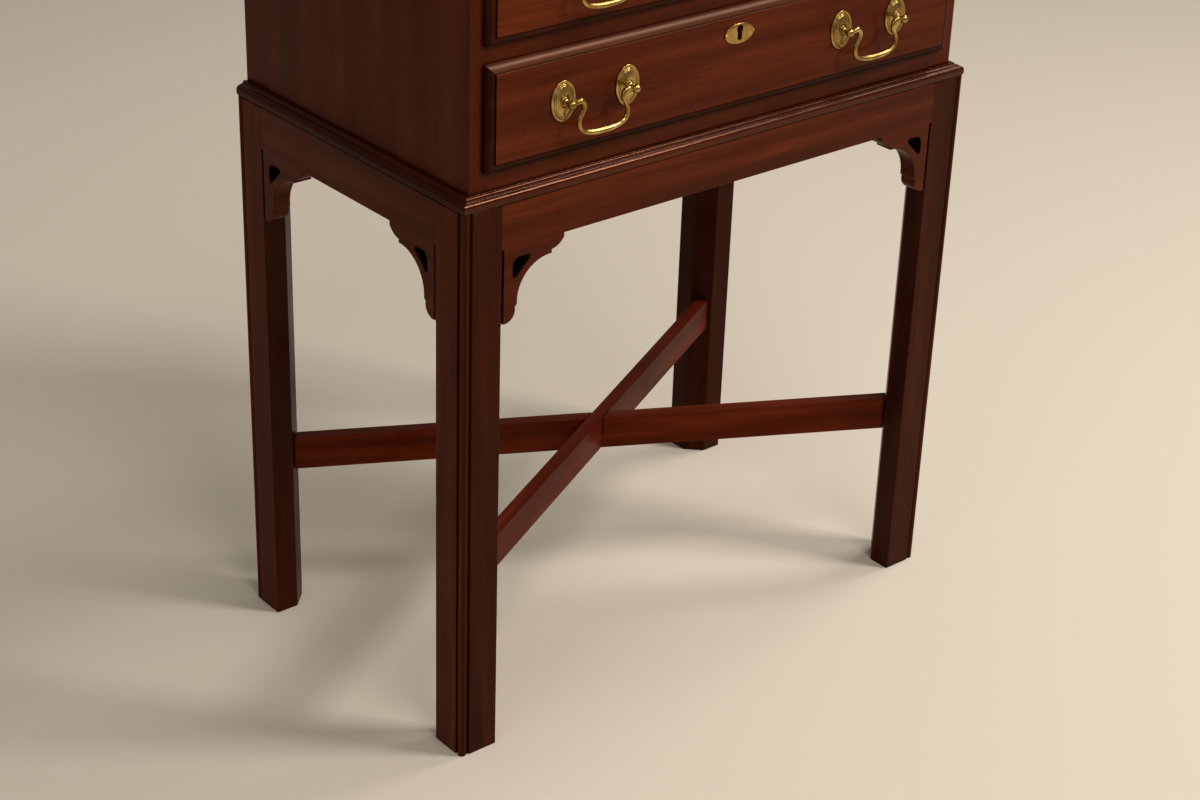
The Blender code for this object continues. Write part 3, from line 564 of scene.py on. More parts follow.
def settle(piece: bpy.types.Object) -> bpy.types.Object:
    """Turns a piece and its modifiers into a plain mesh.

    Args:
        piece: An object with modifiers.

    Returns:
        The same object, with the evaluated mesh and no modifiers.
    """
    graph = bpy.context.evaluated_depsgraph_get()
    mesh = bpy.data.meshes.new_from_object(
        piece.evaluated_get(graph), preserve_all_data_layers=True, depsgraph=graph
    )
    piece.modifiers.clear()
    old = piece.data
    piece.data = mesh
    bpy.data.meshes.remove(old)
    mesh.name = piece.name
    return piece


def dress(piece: bpy.types.Object, body: str, slot: str, *nodes: str) -> None:
    """Lets a piece ride on a body in place of some solids.

    Args:
        piece: The finished piece.
        body: The body that it moves with.
        slot: The record's material slot; not used.
        nodes: Solids that the piece stands for.
    """
    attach(piece, body)
    if nodes:
        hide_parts(*nodes)
    LOG.info("%s: %d faces, rides on %s", piece.name, len(piece.data.polygons), body)


def refinish(node: bpy.types.Object, finish: Finish) -> None:
    """Gives a solid that keeps its shape a better finish.

    Args:
        node: The solid's object.
        finish: The finish that it gets.
    """
    node.data.materials.clear()
    node.data.materials.append(finish.material())
    LOG.info("%s keeps its solid in %s", node.name, finish.name)


def join_flat(shape: Shape) -> None:
    """Joins up the parts of each flat face, but not across a seam.

    Args:
        shape: The shape.
    """
    bmesh.ops.dissolve_limit(
        shape, angle_limit=FLAT, verts=shape.verts, edges=shape.edges,
        use_dissolve_boundaries=False, delimit={'SEAM'},
    )


def solid_copy(node: bpy.types.Object) -> Shape:
    """Copies a solid's mesh with its loose triangles joined up.

    Args:
        node: The solid's object.

    Returns:
        A closed shape whose flat faces are whole.
    """
    shape = bmesh.new()
    shape.from_mesh(node.data)
    bmesh.ops.remove_doubles(shape, verts=shape.verts, dist=WELD)
    join_flat(shape)
    return shape


def cut_faces(shape: Shape, point: Vector, normal: Vector) -> list[bmesh.types.BMEdge]:
    """Cuts a shape's faces in two along a plane.

    Args:
        shape: The shape.
        point: A point on the plane.
        normal: The plane's normal.

    Returns:
        The edges along the cut.
    """
    cut = bmesh.ops.bisect_plane(
        shape, geom=[*shape.verts, *shape.edges, *shape.faces], plane_co=point, plane_no=normal
    )
    return [part for part in cut["geom_cut"] if isinstance(part, bmesh.types.BMEdge)]


def to_mesh(name: str, shape: Shape) -> bpy.types.Mesh:
    """Turns a shape into a mesh.

    Args:
        name: The mesh's name.
        shape: The shape; it is used up.

    Returns:
        The new mesh.
    """
    mesh = bpy.data.meshes.new(name)
    shape.to_mesh(mesh)
    shape.free()
    return mesh


def part_arrises(mesh: bpy.types.Mesh) -> None:
    """Marks sharp arrises so that the faces beside them are shaded apart, up to where an arris ends.

    Args:
        mesh: A mesh with smooth faces.
    """
    mesh.set_sharp_from_angle(angle=SHARP)
    shape = bmesh.new()
    shape.from_mesh(mesh)
    closing = []
    for vert in shape.verts:
        sharp = [edge for edge in vert.link_edges if not edge.smooth]
        if len(sharp) == 1:
            face = max(sharp[0].link_faces, key=lambda face: face.calc_area())
            closing += [edge for edge in face.edges if vert in edge.verts and edge != sharp[0]]
    for edge in closing:
        edge.smooth = False
    shape.to_mesh(mesh)
    shape.free()


def eased(
    name: str,
    shape: Shape,
    width: float,
    finish: Finish,
    skip: Callable[[Vector], bool] | None = None,
    segments: int = 2,
    others: Sequence[Finish] = (),
) -> bpy.types.Object:
    """Makes a piece whose sharp outer arrises are eased.

    Args:
        name: The piece's name.
        shape: The piece with sharp arrises; it is used up.
        width: Width of the easing.
        finish: The piece's finish.
        skip: Tells from an edge's middle whether it stays sharp.
        segments: Facets across the easing.
        others: Finishes of the faces with material indices from 1.

    Returns:
        The finished piece, as a plain mesh.
    """
    weight = shape.edges.layers.float.new("bevel_weight_edge")
    for edge in shape.edges:
        if not edge.is_manifold or not edge.is_convex or edge.calc_face_angle(0.0) < ARRIS:
            continue
        middle = (edge.verts[0].co + edge.verts[1].co) / 2
        if skip is None or not skip(middle):
            edge[weight] = 1.0
    mesh = to_mesh(name, shape)
    mesh.shade_smooth()
    piece = link_piece(name, mesh, finish, *others)
    bevel = piece.modifiers.new("eased_arrises", 'BEVEL')
    bevel.limit_method = 'WEIGHT'
    bevel.width = width
    bevel.segments = segments
    bevel.use_clamp_overlap = True
    settle(piece)
    part_arrises(piece.data)
    flat = piece.modifiers.new("flat_faces", 'WEIGHTED_NORMAL')
    flat.keep_sharp = True
    return settle(piece)


def loft(name: str, rings: Sequence[Ring], pierced: bool = False) -> bpy.types.Mesh:
    """Skins a row of rings with equal numbers of points.

    Args:
        name: The mesh's name.
        rings: The rings, from one end to the other.
        pierced: Whether the last ring joins the first again, round a hole, or both ends are closed.

    Returns:
        A smooth closed mesh.
    """
    shape = bmesh.new()
    loops = [[shape.verts.new(point) for point in ring] for ring in rings]
    for near, far in zip(loops, loops[1:] + (loops[:1] if pierced else [])):
        for i in range(len(near)):
            j = (i + 1) % len(near)
            shape.faces.new((near[i], near[j], far[j], far[i]))
    if not pierced:
        shape.faces.new(loops[0])
        shape.faces.new(loops[-1])
    bmesh.ops.recalc_face_normals(shape, faces=shape.faces)
    mesh = to_mesh(name, shape)
    mesh.shade_smooth()
    return mesh


def arc(
    centre: tuple[float, float], radius: float, start: float, end: float, steps: int
) -> list[tuple[float, float]]:
    """Points on a circle from start to end, in degrees."""
    turns = [math.radians(start + (end - start) * i / steps) for i in range(steps + 1)]
    return [(centre[0] + radius * math.cos(t), centre[1] + radius * math.sin(t)) for t in turns]


def curve_through(guide: Sequence[Vector], steps: int) -> list[Vector]:
    """Draws a smooth curve through a row of points.

    Args:
        guide: The points.
        steps: Parts of the curve between two of them.

    Returns:
        Points along the curve, the guide's own among them.
    """
    ends = [guide[0], *guide, guide[-1]]
    path = []
    for before, near, far, after in zip(ends, ends[1:], ends[2:], ends[3:]):
        for i in range(steps):
            t = i / steps
            path.append(0.5 * (
                2 * near + (far - before) * t + (2 * before - 5 * near + 4 * far - after) * t * t
                + (3 * near - before - 3 * far + after) * t ** 3
            ))
    return [*path, guide[-1]]


# Repeated work

@dataclass
class PieceMaker:
    """A node tree that makes a piece from points or a path."""

    tree: Tree = field(init=False)
    keys: dict[str, str] = field(init=False, default_factory=dict)

    def start_tree(self, name: str, **kinds: str) -> bpy.types.bpy_prop_collection:
        """Starts the tree with its inputs: the points, some sizes and the finish.

        Args:
            name: The tree's name.
            kinds: The kind of socket of each size.

        Returns:
            The inputs, to link from.
        """
        self.tree = bpy.data.node_groups.new(name, "GeometryNodeTree")
        sockets = self.tree.interface
        sockets.new_socket("Points", in_out="INPUT", socket_type="NodeSocketGeometry")
        for label, kind in {**kinds, "Finish": "Material"}.items():
            socket = sockets.new_socket(label, in_out="INPUT", socket_type=f"NodeSocket{kind}")
            self.keys[label] = socket.identifier
        sockets.new_socket("Piece", in_out="OUTPUT", socket_type="NodeSocketGeometry")
        return add_node(self.tree, "NodeGroupInput").node.outputs

    def end_tree(self, made: Socket, finish: Socket) -> None:
        """Ends the tree with real meshes in their finish.

        Args:
            made: What the tree has made.
            finish: The tree's input for the finish.
        """
        real = add_node(self.tree, "GeometryNodeRealizeInstances", {0: made})
        done = add_node(self.tree, "GeometryNodeSetMaterial", {0: real, "Material": finish})
        add_node(self.tree, "NodeGroupOutput", {0: done})

    def make(self, mesh: bpy.types.Mesh, finish: Finish, **sizes: object) -> bpy.types.Object:
        """Runs the tree.

        Args:
            mesh: The points or the path, with the piece's name.
            finish: The piece's finish.
            sizes: A value for each size.

        Returns:
            The piece as a plain mesh.
        """
        piece = link_piece(mesh.name, mesh, finish)
        modifier = piece.modifiers.new(self.tree.name, 'NODES')
        modifier.node_group = self.tree
        for label, value in {**sizes, "Finish": finish.material()}.items():
            modifier[self.keys[label]] = value
        return settle(piece)


@dataclass
class SweptWire(PieceMaker):
    """A node tree that sweeps a round wire of changing thickness along a path."""

    sides: int = 20

    def __post_init__(self) -> None:
        """Builds the tree."""
        given = self.start_tree("swept_wire", Sides="Int", Thickness="Float")
        tree = self.tree
        line = add_node(tree, "GeometryNodeMeshToCurve", {"Mesh": given["Points"]})
        drawn = add_node(tree, "GeometryNodeInputNamedAttribute", {"Name": "wire_radius"}, data_type='FLOAT')
        radius = add_node(tree, "ShaderNodeMath", {0: drawn, 1: given["Thickness"]}, operation='MULTIPLY')
        section = add_node(
            tree, "GeometryNodeCurvePrimitiveCircle", {"Resolution": given["Sides"], "Radius": 1.0}
        )
        swept = add_node(
            tree, "GeometryNodeCurveToMesh",
            {"Curve": line, "Profile Curve": section, "Scale": radius, "Fill Caps": True},
        )
        smooth = add_node(tree, "GeometryNodeSetShadeSmooth", {0: swept})
        self.end_tree(smooth, given["Finish"])

    def sweep(self, name: str, path: Sequence[tuple[Vector, float]], finish: Finish) -> bpy.types.Object:
        """Sweeps a wire along a path.

        Args:
            name: The piece's name.
            path: Points with the wire's radius at each.
            finish: The wire's finish.

        Returns:
            The wire as a plain mesh.
        """
        mesh = bpy.data.meshes.new(name)
        mesh.from_pydata([tuple(p) for p, _ in path], [(i, i + 1) for i in range(len(path) - 1)], [])
        mesh.attributes.new("wire_radius", 'FLOAT', 'POINT').data.foreach_set("value", [r for _, r in path])
        return self.make(mesh, finish, Sides=self.sides, Thickness=1.0)


class HeadForm(Enum):
    """Forms of a small fastener's head."""

    ROUND = "round"
    SLOTTED = "slotted"


@dataclass
class SmallHeads(PieceMaker):
    """A node tree that sets the head of a pin or screw at each point of a row."""

    form: HeadForm
    # The bar that cuts a slot: its length and width to the head's radius, its lift to the head's thickness.
    slot_length: float = 3.0
    slot_width: float = 0.32
    slot_lift: float = 0.62

    def __post_init__(self) -> None:
        """Builds the tree."""
        given = self.start_tree(f"{self.form.value}_heads", Radius="Float", Rise="Float", Turn="Rotation")
        tree = self.tree
        radius, rise = given["Radius"], given["Rise"]
        if self.form is HeadForm.ROUND:
            ball = add_node(tree, "GeometryNodeMeshUVSphere", {"Segments": 18, "Rings": 10, "Radius": 1.0})
            stretch = add_node(tree, "ShaderNodeCombineXYZ", {0: radius, 1: radius, 2: rise})
            dome = add_node(tree, "GeometryNodeTransform", {0: ball, "Scale": stretch})
            head = add_node(tree, "GeometryNodeSetShadeSmooth", {0: dome})
        else:
            disc = add_node(
                tree, "GeometryNodeMeshCylinder", {"Vertices": 24, "Radius": radius, "Depth": rise}
            )
            shares = ((radius, self.slot_length), (radius, self.slot_width), (rise, self.slot_lift))
            length, width, lift = [
                add_node(tree, "ShaderNodeMath", {0: size, 1: share}, operation='MULTIPLY')
                for size, share in shares
            ]
            bar = add_node(tree, "ShaderNodeCombineXYZ", {0: length, 1: width, 2: rise})
            slot = add_node(tree, "GeometryNodeMeshCube", {"Size": bar})
            above = add_node(tree, "ShaderNodeCombineXYZ", {2: lift})
            raised = add_node(tree, "GeometryNodeTransform", {0: slot, "Translation": above})
            head = add_node(
                tree, "GeometryNodeMeshBoolean", {"Mesh 1": disc, "Mesh 2": raised}, operation='DIFFERENCE'
            )
        points = add_node(tree, "GeometryNodeMeshToPoints", {"Mesh": given["Points"]})
        spin = add_node(
            tree, "FunctionNodeRandomValue",
            {"Min": (0.0, 0.0, 0.0), "Max": (0.0, 0.0, math.pi), "Seed": 11}, data_type='FLOAT_VECTOR',
        )
        own = add_node(tree, "FunctionNodeEulerToRotation", {0: spin})
        turned = add_node(
            tree, "FunctionNodeRotateRotation", {0: own, 1: given["Turn"]}, rotation_space='GLOBAL'
        )
        row = add_node(
            tree, "GeometryNodeInstanceOnPoints", {"Points": points, "Instance": head, "Rotation": turned}
        )
        self.end_tree(row, given["Finish"])

    def set_out(
        self, name: str, points: Sequence[Vector], radius: float, rise: float, facing: Vector, finish: Finish
    ) -> bpy.types.Object:
        """Sets a head at each point.

        Args:
            name: The piece's name.
            points: Centres of the heads.
            radius: Radius of a head.
            rise: Height of a round head, or thickness of a slotted one.
            facing: Direction that the heads face.
            finish: The heads' finish.

        Returns:
            All the heads as one plain mesh.
        """
        mesh = bpy.data.meshes.new(name)
        mesh.from_pydata([tuple(p) for p in points], [], [])
        turn = facing.to_track_quat('Z', 'Y').to_euler()
        return self.make(mesh, finish, Radius=radius, Rise=rise, Turn=turn)


# Sub-assemblies

@dataclass
class Woodwork:
    """Wooden pieces that take the place of their solids."""

    nodes: dict[str, bpy.types.Object]
    # Aprons and rails are drawn out by this much at each end, to close their joints.
    joint_closing: float = 0.28 * MM

    def ease(
        self,
        node: str,
        width: float,
        finish: Finish,
        skip: Callable[[Vector], bool] | None = None,
        body: str = "chest",
    ) -> None:
        """Eases a solid's arrises.

        Args:
            node: The solid.
            width: Width of the easing.
            finish: The piece's finish.
            skip: Tells from an edge's middle whether it stays sharp.
            body: The body that the piece moves with.
        """
        piece = eased(f"eased_{node}", solid_copy(self.nodes[node]), width, finish, skip)
        dress(piece, body, "mahogany", node)

    def draw_out(self, shape: Shape, axis: int) -> tuple[float, float]:
        """Draws out both ends of an apron or a rail.

        Args:
            shape: The apron or rail.
            axis: The axis along it.

        Returns:
            Where its ends are now.
        """
        places = [vert.co[axis] for vert in shape.verts]
        low, high = min(places), max(places)
        start, end = low - self.joint_closing, high + self.joint_closing
        for vert in shape.verts:
            if vert.co[axis] < low + TOUCH:
                vert.co[axis] = start
            elif vert.co[axis] > high - TOUCH:
                vert.co[axis] = end
        return start, end


@dataclass
class Stand(Woodwork):
    """Legs, aprons with their pierced brackets, crossed stretchers and the waist moulding."""

    leg_ease: float = 0.7 * MM
    apron_ease: float = 0.7 * MM
    stretcher_ease: float = 1.1 * MM
    moulding_ease: float = 0.25 * MM
    # Brackets reach this far up into their apron.
    seat: float = 0.6 * MM

    def dress_leg(self, row: str, side: str) -> None:
        """Eases a leg, but leaves its arrises sharp where they are flush with the aprons and brackets.

        Args:
            row: "front" or "rear".
            side: "left" or "right".
        """
        node = f"leg_{row}_{side}"
        low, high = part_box(node)
        out_x, in_x = (low.x, high.x) if side == "left" else (high.x, low.x)
        out_y, in_y = (low.y, high.y) if row == "front" else (high.y, low.y)
        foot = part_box("bracket_front_left")[0].z
        shape = solid_copy(self.nodes[node])
        cut_faces(shape, Vector((0, 0, foot)), Vector((0, 0, 1)))
        # The faces that look away from the chest are the leg's outer side.
        for face in shape.faces:
            if face.normal.x * out_x > 0.5 * abs(out_x):
                face.material_index = 1

        def at_apron(point: Vector) -> bool:
            """Whether an edge is flush with an apron or a bracket."""
            joints = ((in_x, out_y), (out_x, in_y))
            return point.z > foot and any(math.dist(point.xy, joint) < TOUCH for joint in joints)

        piece = eased(f"eased_{node}", shape, self.leg_ease, LEG_WOOD, at_apron, others=(LEG_SIDE_WOOD,))
        dress(piece, "chest", "mahogany", node)

    def apron_with_brackets(
        self, name: str, apron: str, brackets: Sequence[str], finish: LacqueredWood
    ) -> None:
        """Joins an apron and its brackets as one faced-up piece.

        Args:
            name: The piece's name.
            apron: The apron's solid.
            brackets: The brackets' solids.
            finish: The finish of both.
        """
        low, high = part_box(apron)
        base = link_piece(name, to_mesh(name, solid_copy(self.nodes[apron])), finish)
        tools = []
        for bracket in brackets:
            shape = solid_copy(self.nodes[bracket])
            top = max(v.co.z for v in shape.verts)
            for vert in shape.verts:
                if vert.co.z > top - TOUCH:
                    vert.co.z = low.z + self.seat
            tool = link_piece(f"{bracket}_tool", to_mesh(bracket, shape), finish)
            union = base.modifiers.new(bracket, 'BOOLEAN')
            union.operation = 'UNION'
            union.solver = 'EXACT'
            union.object = tool
            tools.append(tool)
        settle(base)
        shape = solid_copy(base)
        for part in (base, *tools):
            bpy.data.objects.remove(part, do_unlink=True)
        axis = 0 if high.x - low.x > high.y - low.y else 1
        start, end = self.draw_out(shape, axis)
        self.part_piercings(shape, axis)

        def at_leg(point: Vector) -> bool:
            """Whether an edge lies against a leg or under the moulding."""
            beside = min(point[axis] - start, end - point[axis]) < TOUCH
            return beside or point.z > high.z - TOUCH

        piece = eased(name, shape, self.apron_ease, finish, at_leg, others=(PIERCING_SHADE_WOOD,))
        dress(piece, "chest", "mahogany", apron, *brackets)

    @staticmethod
    def part_piercings(shape: Shape, axis: int) -> None:
        """Gives the walls of the piercings the second finish, a near-black painted shade, and parts the faces
        that they pierce.

        A face with a hole has stray edges from the hole to its outline; parted at the hole, it needs none.

        Args:
            shape: An apron with its brackets.
            axis: The axis along the apron.
        """
        walls = [face for face in shape.faces if abs(face.normal[1 - axis]) < 0.5]
        left = set(walls)
        rings = []
        for wall in walls:
            if wall not in left:
                continue
            left.remove(wall)
            ring = [wall]
            # The ring grows while its faces are walked through.
            for face in ring:
                for other in (other for edge in face.edges for other in edge.link_faces):
                    if other in left:
                        left.remove(other)
                        ring.append(other)
            rings.append(ring)
        rings.sort(key=lambda ring: sum(face.calc_area() for face in ring))
        # The largest ring is the outline; the others are piercings.
        middles = []
        for ring in rings[:-1]:
            for face in ring:
                face.material_index = 1
            middles.append(sum(face.calc_center_median()[axis] for face in ring) / len(ring))
        along = Vector((axis == 0, axis == 1, 0))
        for middle in middles:
            for edge in cut_faces(shape, along * middle, along):
                edge.seam = True
            join_flat(shape)

    def dress_aprons(self) -> None:
        """Dresses the four aprons; the rear one has no brackets."""
        self.apron_with_brackets(
            "faced_apron_front", "apron_front", ("bracket_front_left", "bracket_front_right"), RAIL_WOOD
        )
        for side in ("left", "right"):
            brackets = (f"bracket_{side}_front", f"bracket_{side}_rear")
            self.apron_with_brackets(f"faced_apron_{side}", f"apron_{side}", brackets, SIDE_RAIL_WOOD)
        self.apron_with_brackets("faced_apron_rear", "apron_rear", (), RAIL_WOOD)

    def build(self) -> None:
        """Dresses the whole stand."""
        for row in ("front", "rear"):
            for side in ("left", "right"):
                self.dress_leg(row, side)
        self.dress_aprons()
        self.ease("stretcher_over", self.stretcher_ease, OVER_WOOD)
        self.ease("stretcher_under", self.stretcher_ease, UNDER_WOOD)
        self.ease("moulding_front", self.moulding_ease, MOULDING_WOOD)
        for side in ("left", "right"):
            self.ease(f"moulding_{side}", self.moulding_ease, SIDE_MOULDING_WOOD)


@dataclass
class Case(Woodwork):
    """The carcase, the fitted insert and the case's half of the hinge."""

    side_ease: float = 0.8 * MM
    felt_round: float = 1.6 * MM

    def dress_side(self, side: str) -> None:
        """Eases a side panel, but leaves the arris sharp that is flush with the rails.

        Args:
            side: "left" or "right".
        """
        node = f"case_side_{side}"
        low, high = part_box(node)
        flush = (high.x if side == "left" else low.x, low.y)

        def at_rails(point: Vector) -> bool:
            """Whether an edge is flush with the rails."""
            return math.dist(point.xy, flush) < TOUCH

        self.ease(node, self.side_ease, PANEL_WOOD, at_rails)

    def dress_rail(self, node: str) -> None:
        """Draws the ends of a rail out to the side panels.

        Args:
            node: The rail's solid.
        """
        shape = solid_copy(self.nodes[node])
        self.draw_out(shape, axis=0)
        piece = link_piece(f"faced_{node}", to_mesh(node, shape), RAIL_WOOD)
        dress(piece, "chest", "mahogany", node)

    def build(self) -> None:
        """Dresses the case."""
        for side in ("left", "right"):
            self.dress_side(side)
        for node in ("rail_bottom", "rail_middle", "well_front"):
            self.dress_rail(node)
        refinish(self.nodes["case_back"], BACK_STOCK)
        refinish(self.nodes["case_floor"], STOCK_ACROSS)
        for node in ("runner_left", "runner_right"):
            refinish(self.nodes[node], STOCK_DEEP)
        insert = eased(
            "felted_insert", solid_copy(self.nodes["flatware_insert"]), self.felt_round, FELT, segments=3
        )
        dress(insert, "chest", "lining", "flatware_insert")
        refinish(self.nodes["hinge_leaf_case"], BRASS)


@dataclass
class Lid(Woodwork):
    """The lid with its half of the hinge."""

    lid_ease: float = 0.6 * MM

    def build(self) -> None:
        """Dresses the lid."""
        self.ease("lid", self.lid_ease, RAIL_WOOD, body="lid")
        refinish(self.nodes["hinge_leaf_lid"], BRASS)


@dataclass
class HingeScrews:
    """Slotted screws along both leaves of the hinge."""

    heads: SmallHeads
    radius: float = 2.0 * MM
    thickness: float = 0.8 * MM
    proud: float = 0.08 * MM
    # Distance between the leaves' faces while the lid is shut.
    leaf_gap: float = 0.3 * MM
    count: int = 11

    def build(self) -> None:
        """Sets the screws along each leaf, on the face that shows when the lid is up."""
        case_low, case_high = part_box("case_back")
        pin = 0.5 * (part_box("hinge_leaf_case")[1].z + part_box("hinge_leaf_lid")[0].z)
        for node, body, up in (("hinge_leaf_case", "chest", 1), ("hinge_leaf_lid", "lid", -1)):
            low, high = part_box(node)
            pitch = (high.x - low.x) / self.count
            y = (max(low.y, case_low.y) + case_high.y) / 2
            z = pin + up * (self.proud - self.thickness / 2 - self.leaf_gap / 2)
            points = [Vector((low.x + (i + 0.5) * pitch, y, z)) for i in range(self.count)]
            piece = self.heads.set_out(
                f"{node}_screws", points, self.radius, self.thickness, Vector((0, 0, up)), BRASS
            )
            dress(piece, body, "brass")


@dataclass
class BailPull:
    """A swan-neck pull: two turned posts on oval rosettes and the bail that swings between them."""

    drawer: str
    side: str
    pivot: Vector
    wire: SweptWire
    post_spacing: float = 67.5 * MM
    rosette_half: tuple[float, float] = (12.5 * MM, 17.5 * MM)
    reach: float = 11.2 * MM
    collar_radius: float = 4.6 * MM
    crown_rise: float = 1.0 * MM
    neck_radius: float = 2.0 * MM
    ball_radius: float = 4.0 * MM
    # Angle from the ball's pole to its last ring, in radians.
    ball_end: float = 0.05
    pin_inset: float = 1.0 * MM
    pin_radius: float = 1.3 * MM
    sides: int = 56
    crown_steps: int = 8
    ball_steps: int = 14
    bail_steps: int = 6

    def post_rings(self, centre: Vector) -> list[Ring]:
        """Rings of a post from the drawer's face outwards.

        Args:
            centre: Centre of the post's ball.

        Returns:
            The rings, oval on the rosette and round on the neck and ball.
        """
        wide, tall = self.rosette_half
        # Inset from the rosette's edge and rise above the drawer's face, in millimetres.
        plate = (
            (0.0, 0.0), (0.0, 0.45), (0.12, 0.75), (0.45, 0.96), (0.9, 1.02), (1.7, 1.02), (2.3, 0.96),
            (2.55, 0.74), (2.7, 0.66), (2.85, 0.74), (2.95, 1.05), (3.15, 1.3), (3.5, 1.42), (3.85, 1.34),
            (4.05, 1.16), (4.2, 1.12), (4.3, 1.3), (4.5, 1.62), (4.9, 1.82), (5.4, 1.9),
        )
        # Radius and rise of the turned collar and neck, in millimetres.
        turned = (
            (4.5, 2.6), (4.2, 2.55), (4.05, 3.1), (3.9, 3.5), (3.5, 3.7), (3.0, 3.62), (2.7, 3.4),
            (2.55, 3.65), (2.9, 4.0), (3.1, 4.4), (2.9, 4.8), (2.4, 5.0), (2.0, 5.3), (1.85, 6.0), (1.9, 6.8),
        )
        levels = [(wide - u * MM, tall - u * MM, v * MM) for u, v in plate]
        inner_wide, inner_tall, plate_rise = levels[-1]
        for i in range(1, self.crown_steps + 1):
            t = i / self.crown_steps
            rise = plate_rise + self.crown_rise * math.sin(t * math.pi / 2)
            half_x = inner_wide + (self.collar_radius - inner_wide) * t
            half_z = inner_tall + (self.collar_radius - inner_tall) * t
            levels.append((half_x, half_z, rise))
        levels += [(r * MM, r * MM, v * MM) for r, v in turned]
        neck = math.asin(self.neck_radius / self.ball_radius)
        for i in range(self.ball_steps + 1):
            turn = neck + (math.pi - self.ball_end - neck) * i / self.ball_steps
            around = self.ball_radius * math.sin(turn)
            levels.append((around, around, self.reach - self.ball_radius * math.cos(turn)))
        turns = [2 * math.pi * i / self.sides for i in range(self.sides)]
        rings = []
        for half_x, half_z, out in levels:
            y = centre.y + self.reach - out
            rings.append([
                (centre.x + half_x * math.cos(t), y, centre.z + half_z * math.sin(t)) for t in turns
            ])
        return rings

    def bail_path(self) -> list[tuple[Vector, float]]:
        """Draws the bail's centre line.

        Returns:
            Points along the bail with its radius at each.
        """
        half = self.post_spacing / 2
        # Distance in from the ball's centre, height and radius, in millimetres.
        drawn = (
            (4.4, 0.0, 1.7), (6.2, 0.9, 2.35), (8.9, 1.6, 2.6), (12.0, -0.6, 2.5), (13.2, -4.8, 2.15),
            (10.9, -9.8, 1.9), (8.5, -14.6, 1.9), (9.1, -21.2, 2.1), (13.8, -25.7, 2.2), (23.0, -27.9, 2.6),
            (half / MM, -28.4, 2.85),
        )
        left = [Vector((u * MM - half, v * MM, r * MM)) for u, v, r in drawn]
        right = [Vector((-p.x, p.y, p.z)) for p in reversed(left[:-1])]
        pin = Vector((self.pin_inset - half, 0.0, self.pin_radius))
        path = [pin, *curve_through(left + right, self.bail_steps), Vector((-pin.x, pin.y, pin.z))]
        return [(self.pivot + Vector((p.x, 0.0, p.y)), p.z) for p in path]

    def build(self) -> None:
        """Dresses the posts and the bail."""
        for end, ex in (("left", -1), ("right", 1)):
            node = f"{self.drawer}_post_{self.side}_{end}"
            centre = self.pivot + Vector((ex * self.post_spacing / 2, 0, 0))
            name = f"turned_{node}"
            post = link_piece(name, loft(name, self.post_rings(centre)), BRASS)
            dress(post, self.drawer, "brass", node)
        node = f"{self.drawer}_bail_{self.side}"
        level = self.drawer.removeprefix("drawer_")
        bail = self.wire.sweep(f"swept_{node}", self.bail_path(), BRASS)
        dress(bail, f"bail_{level}_{self.side}", "brass", node)


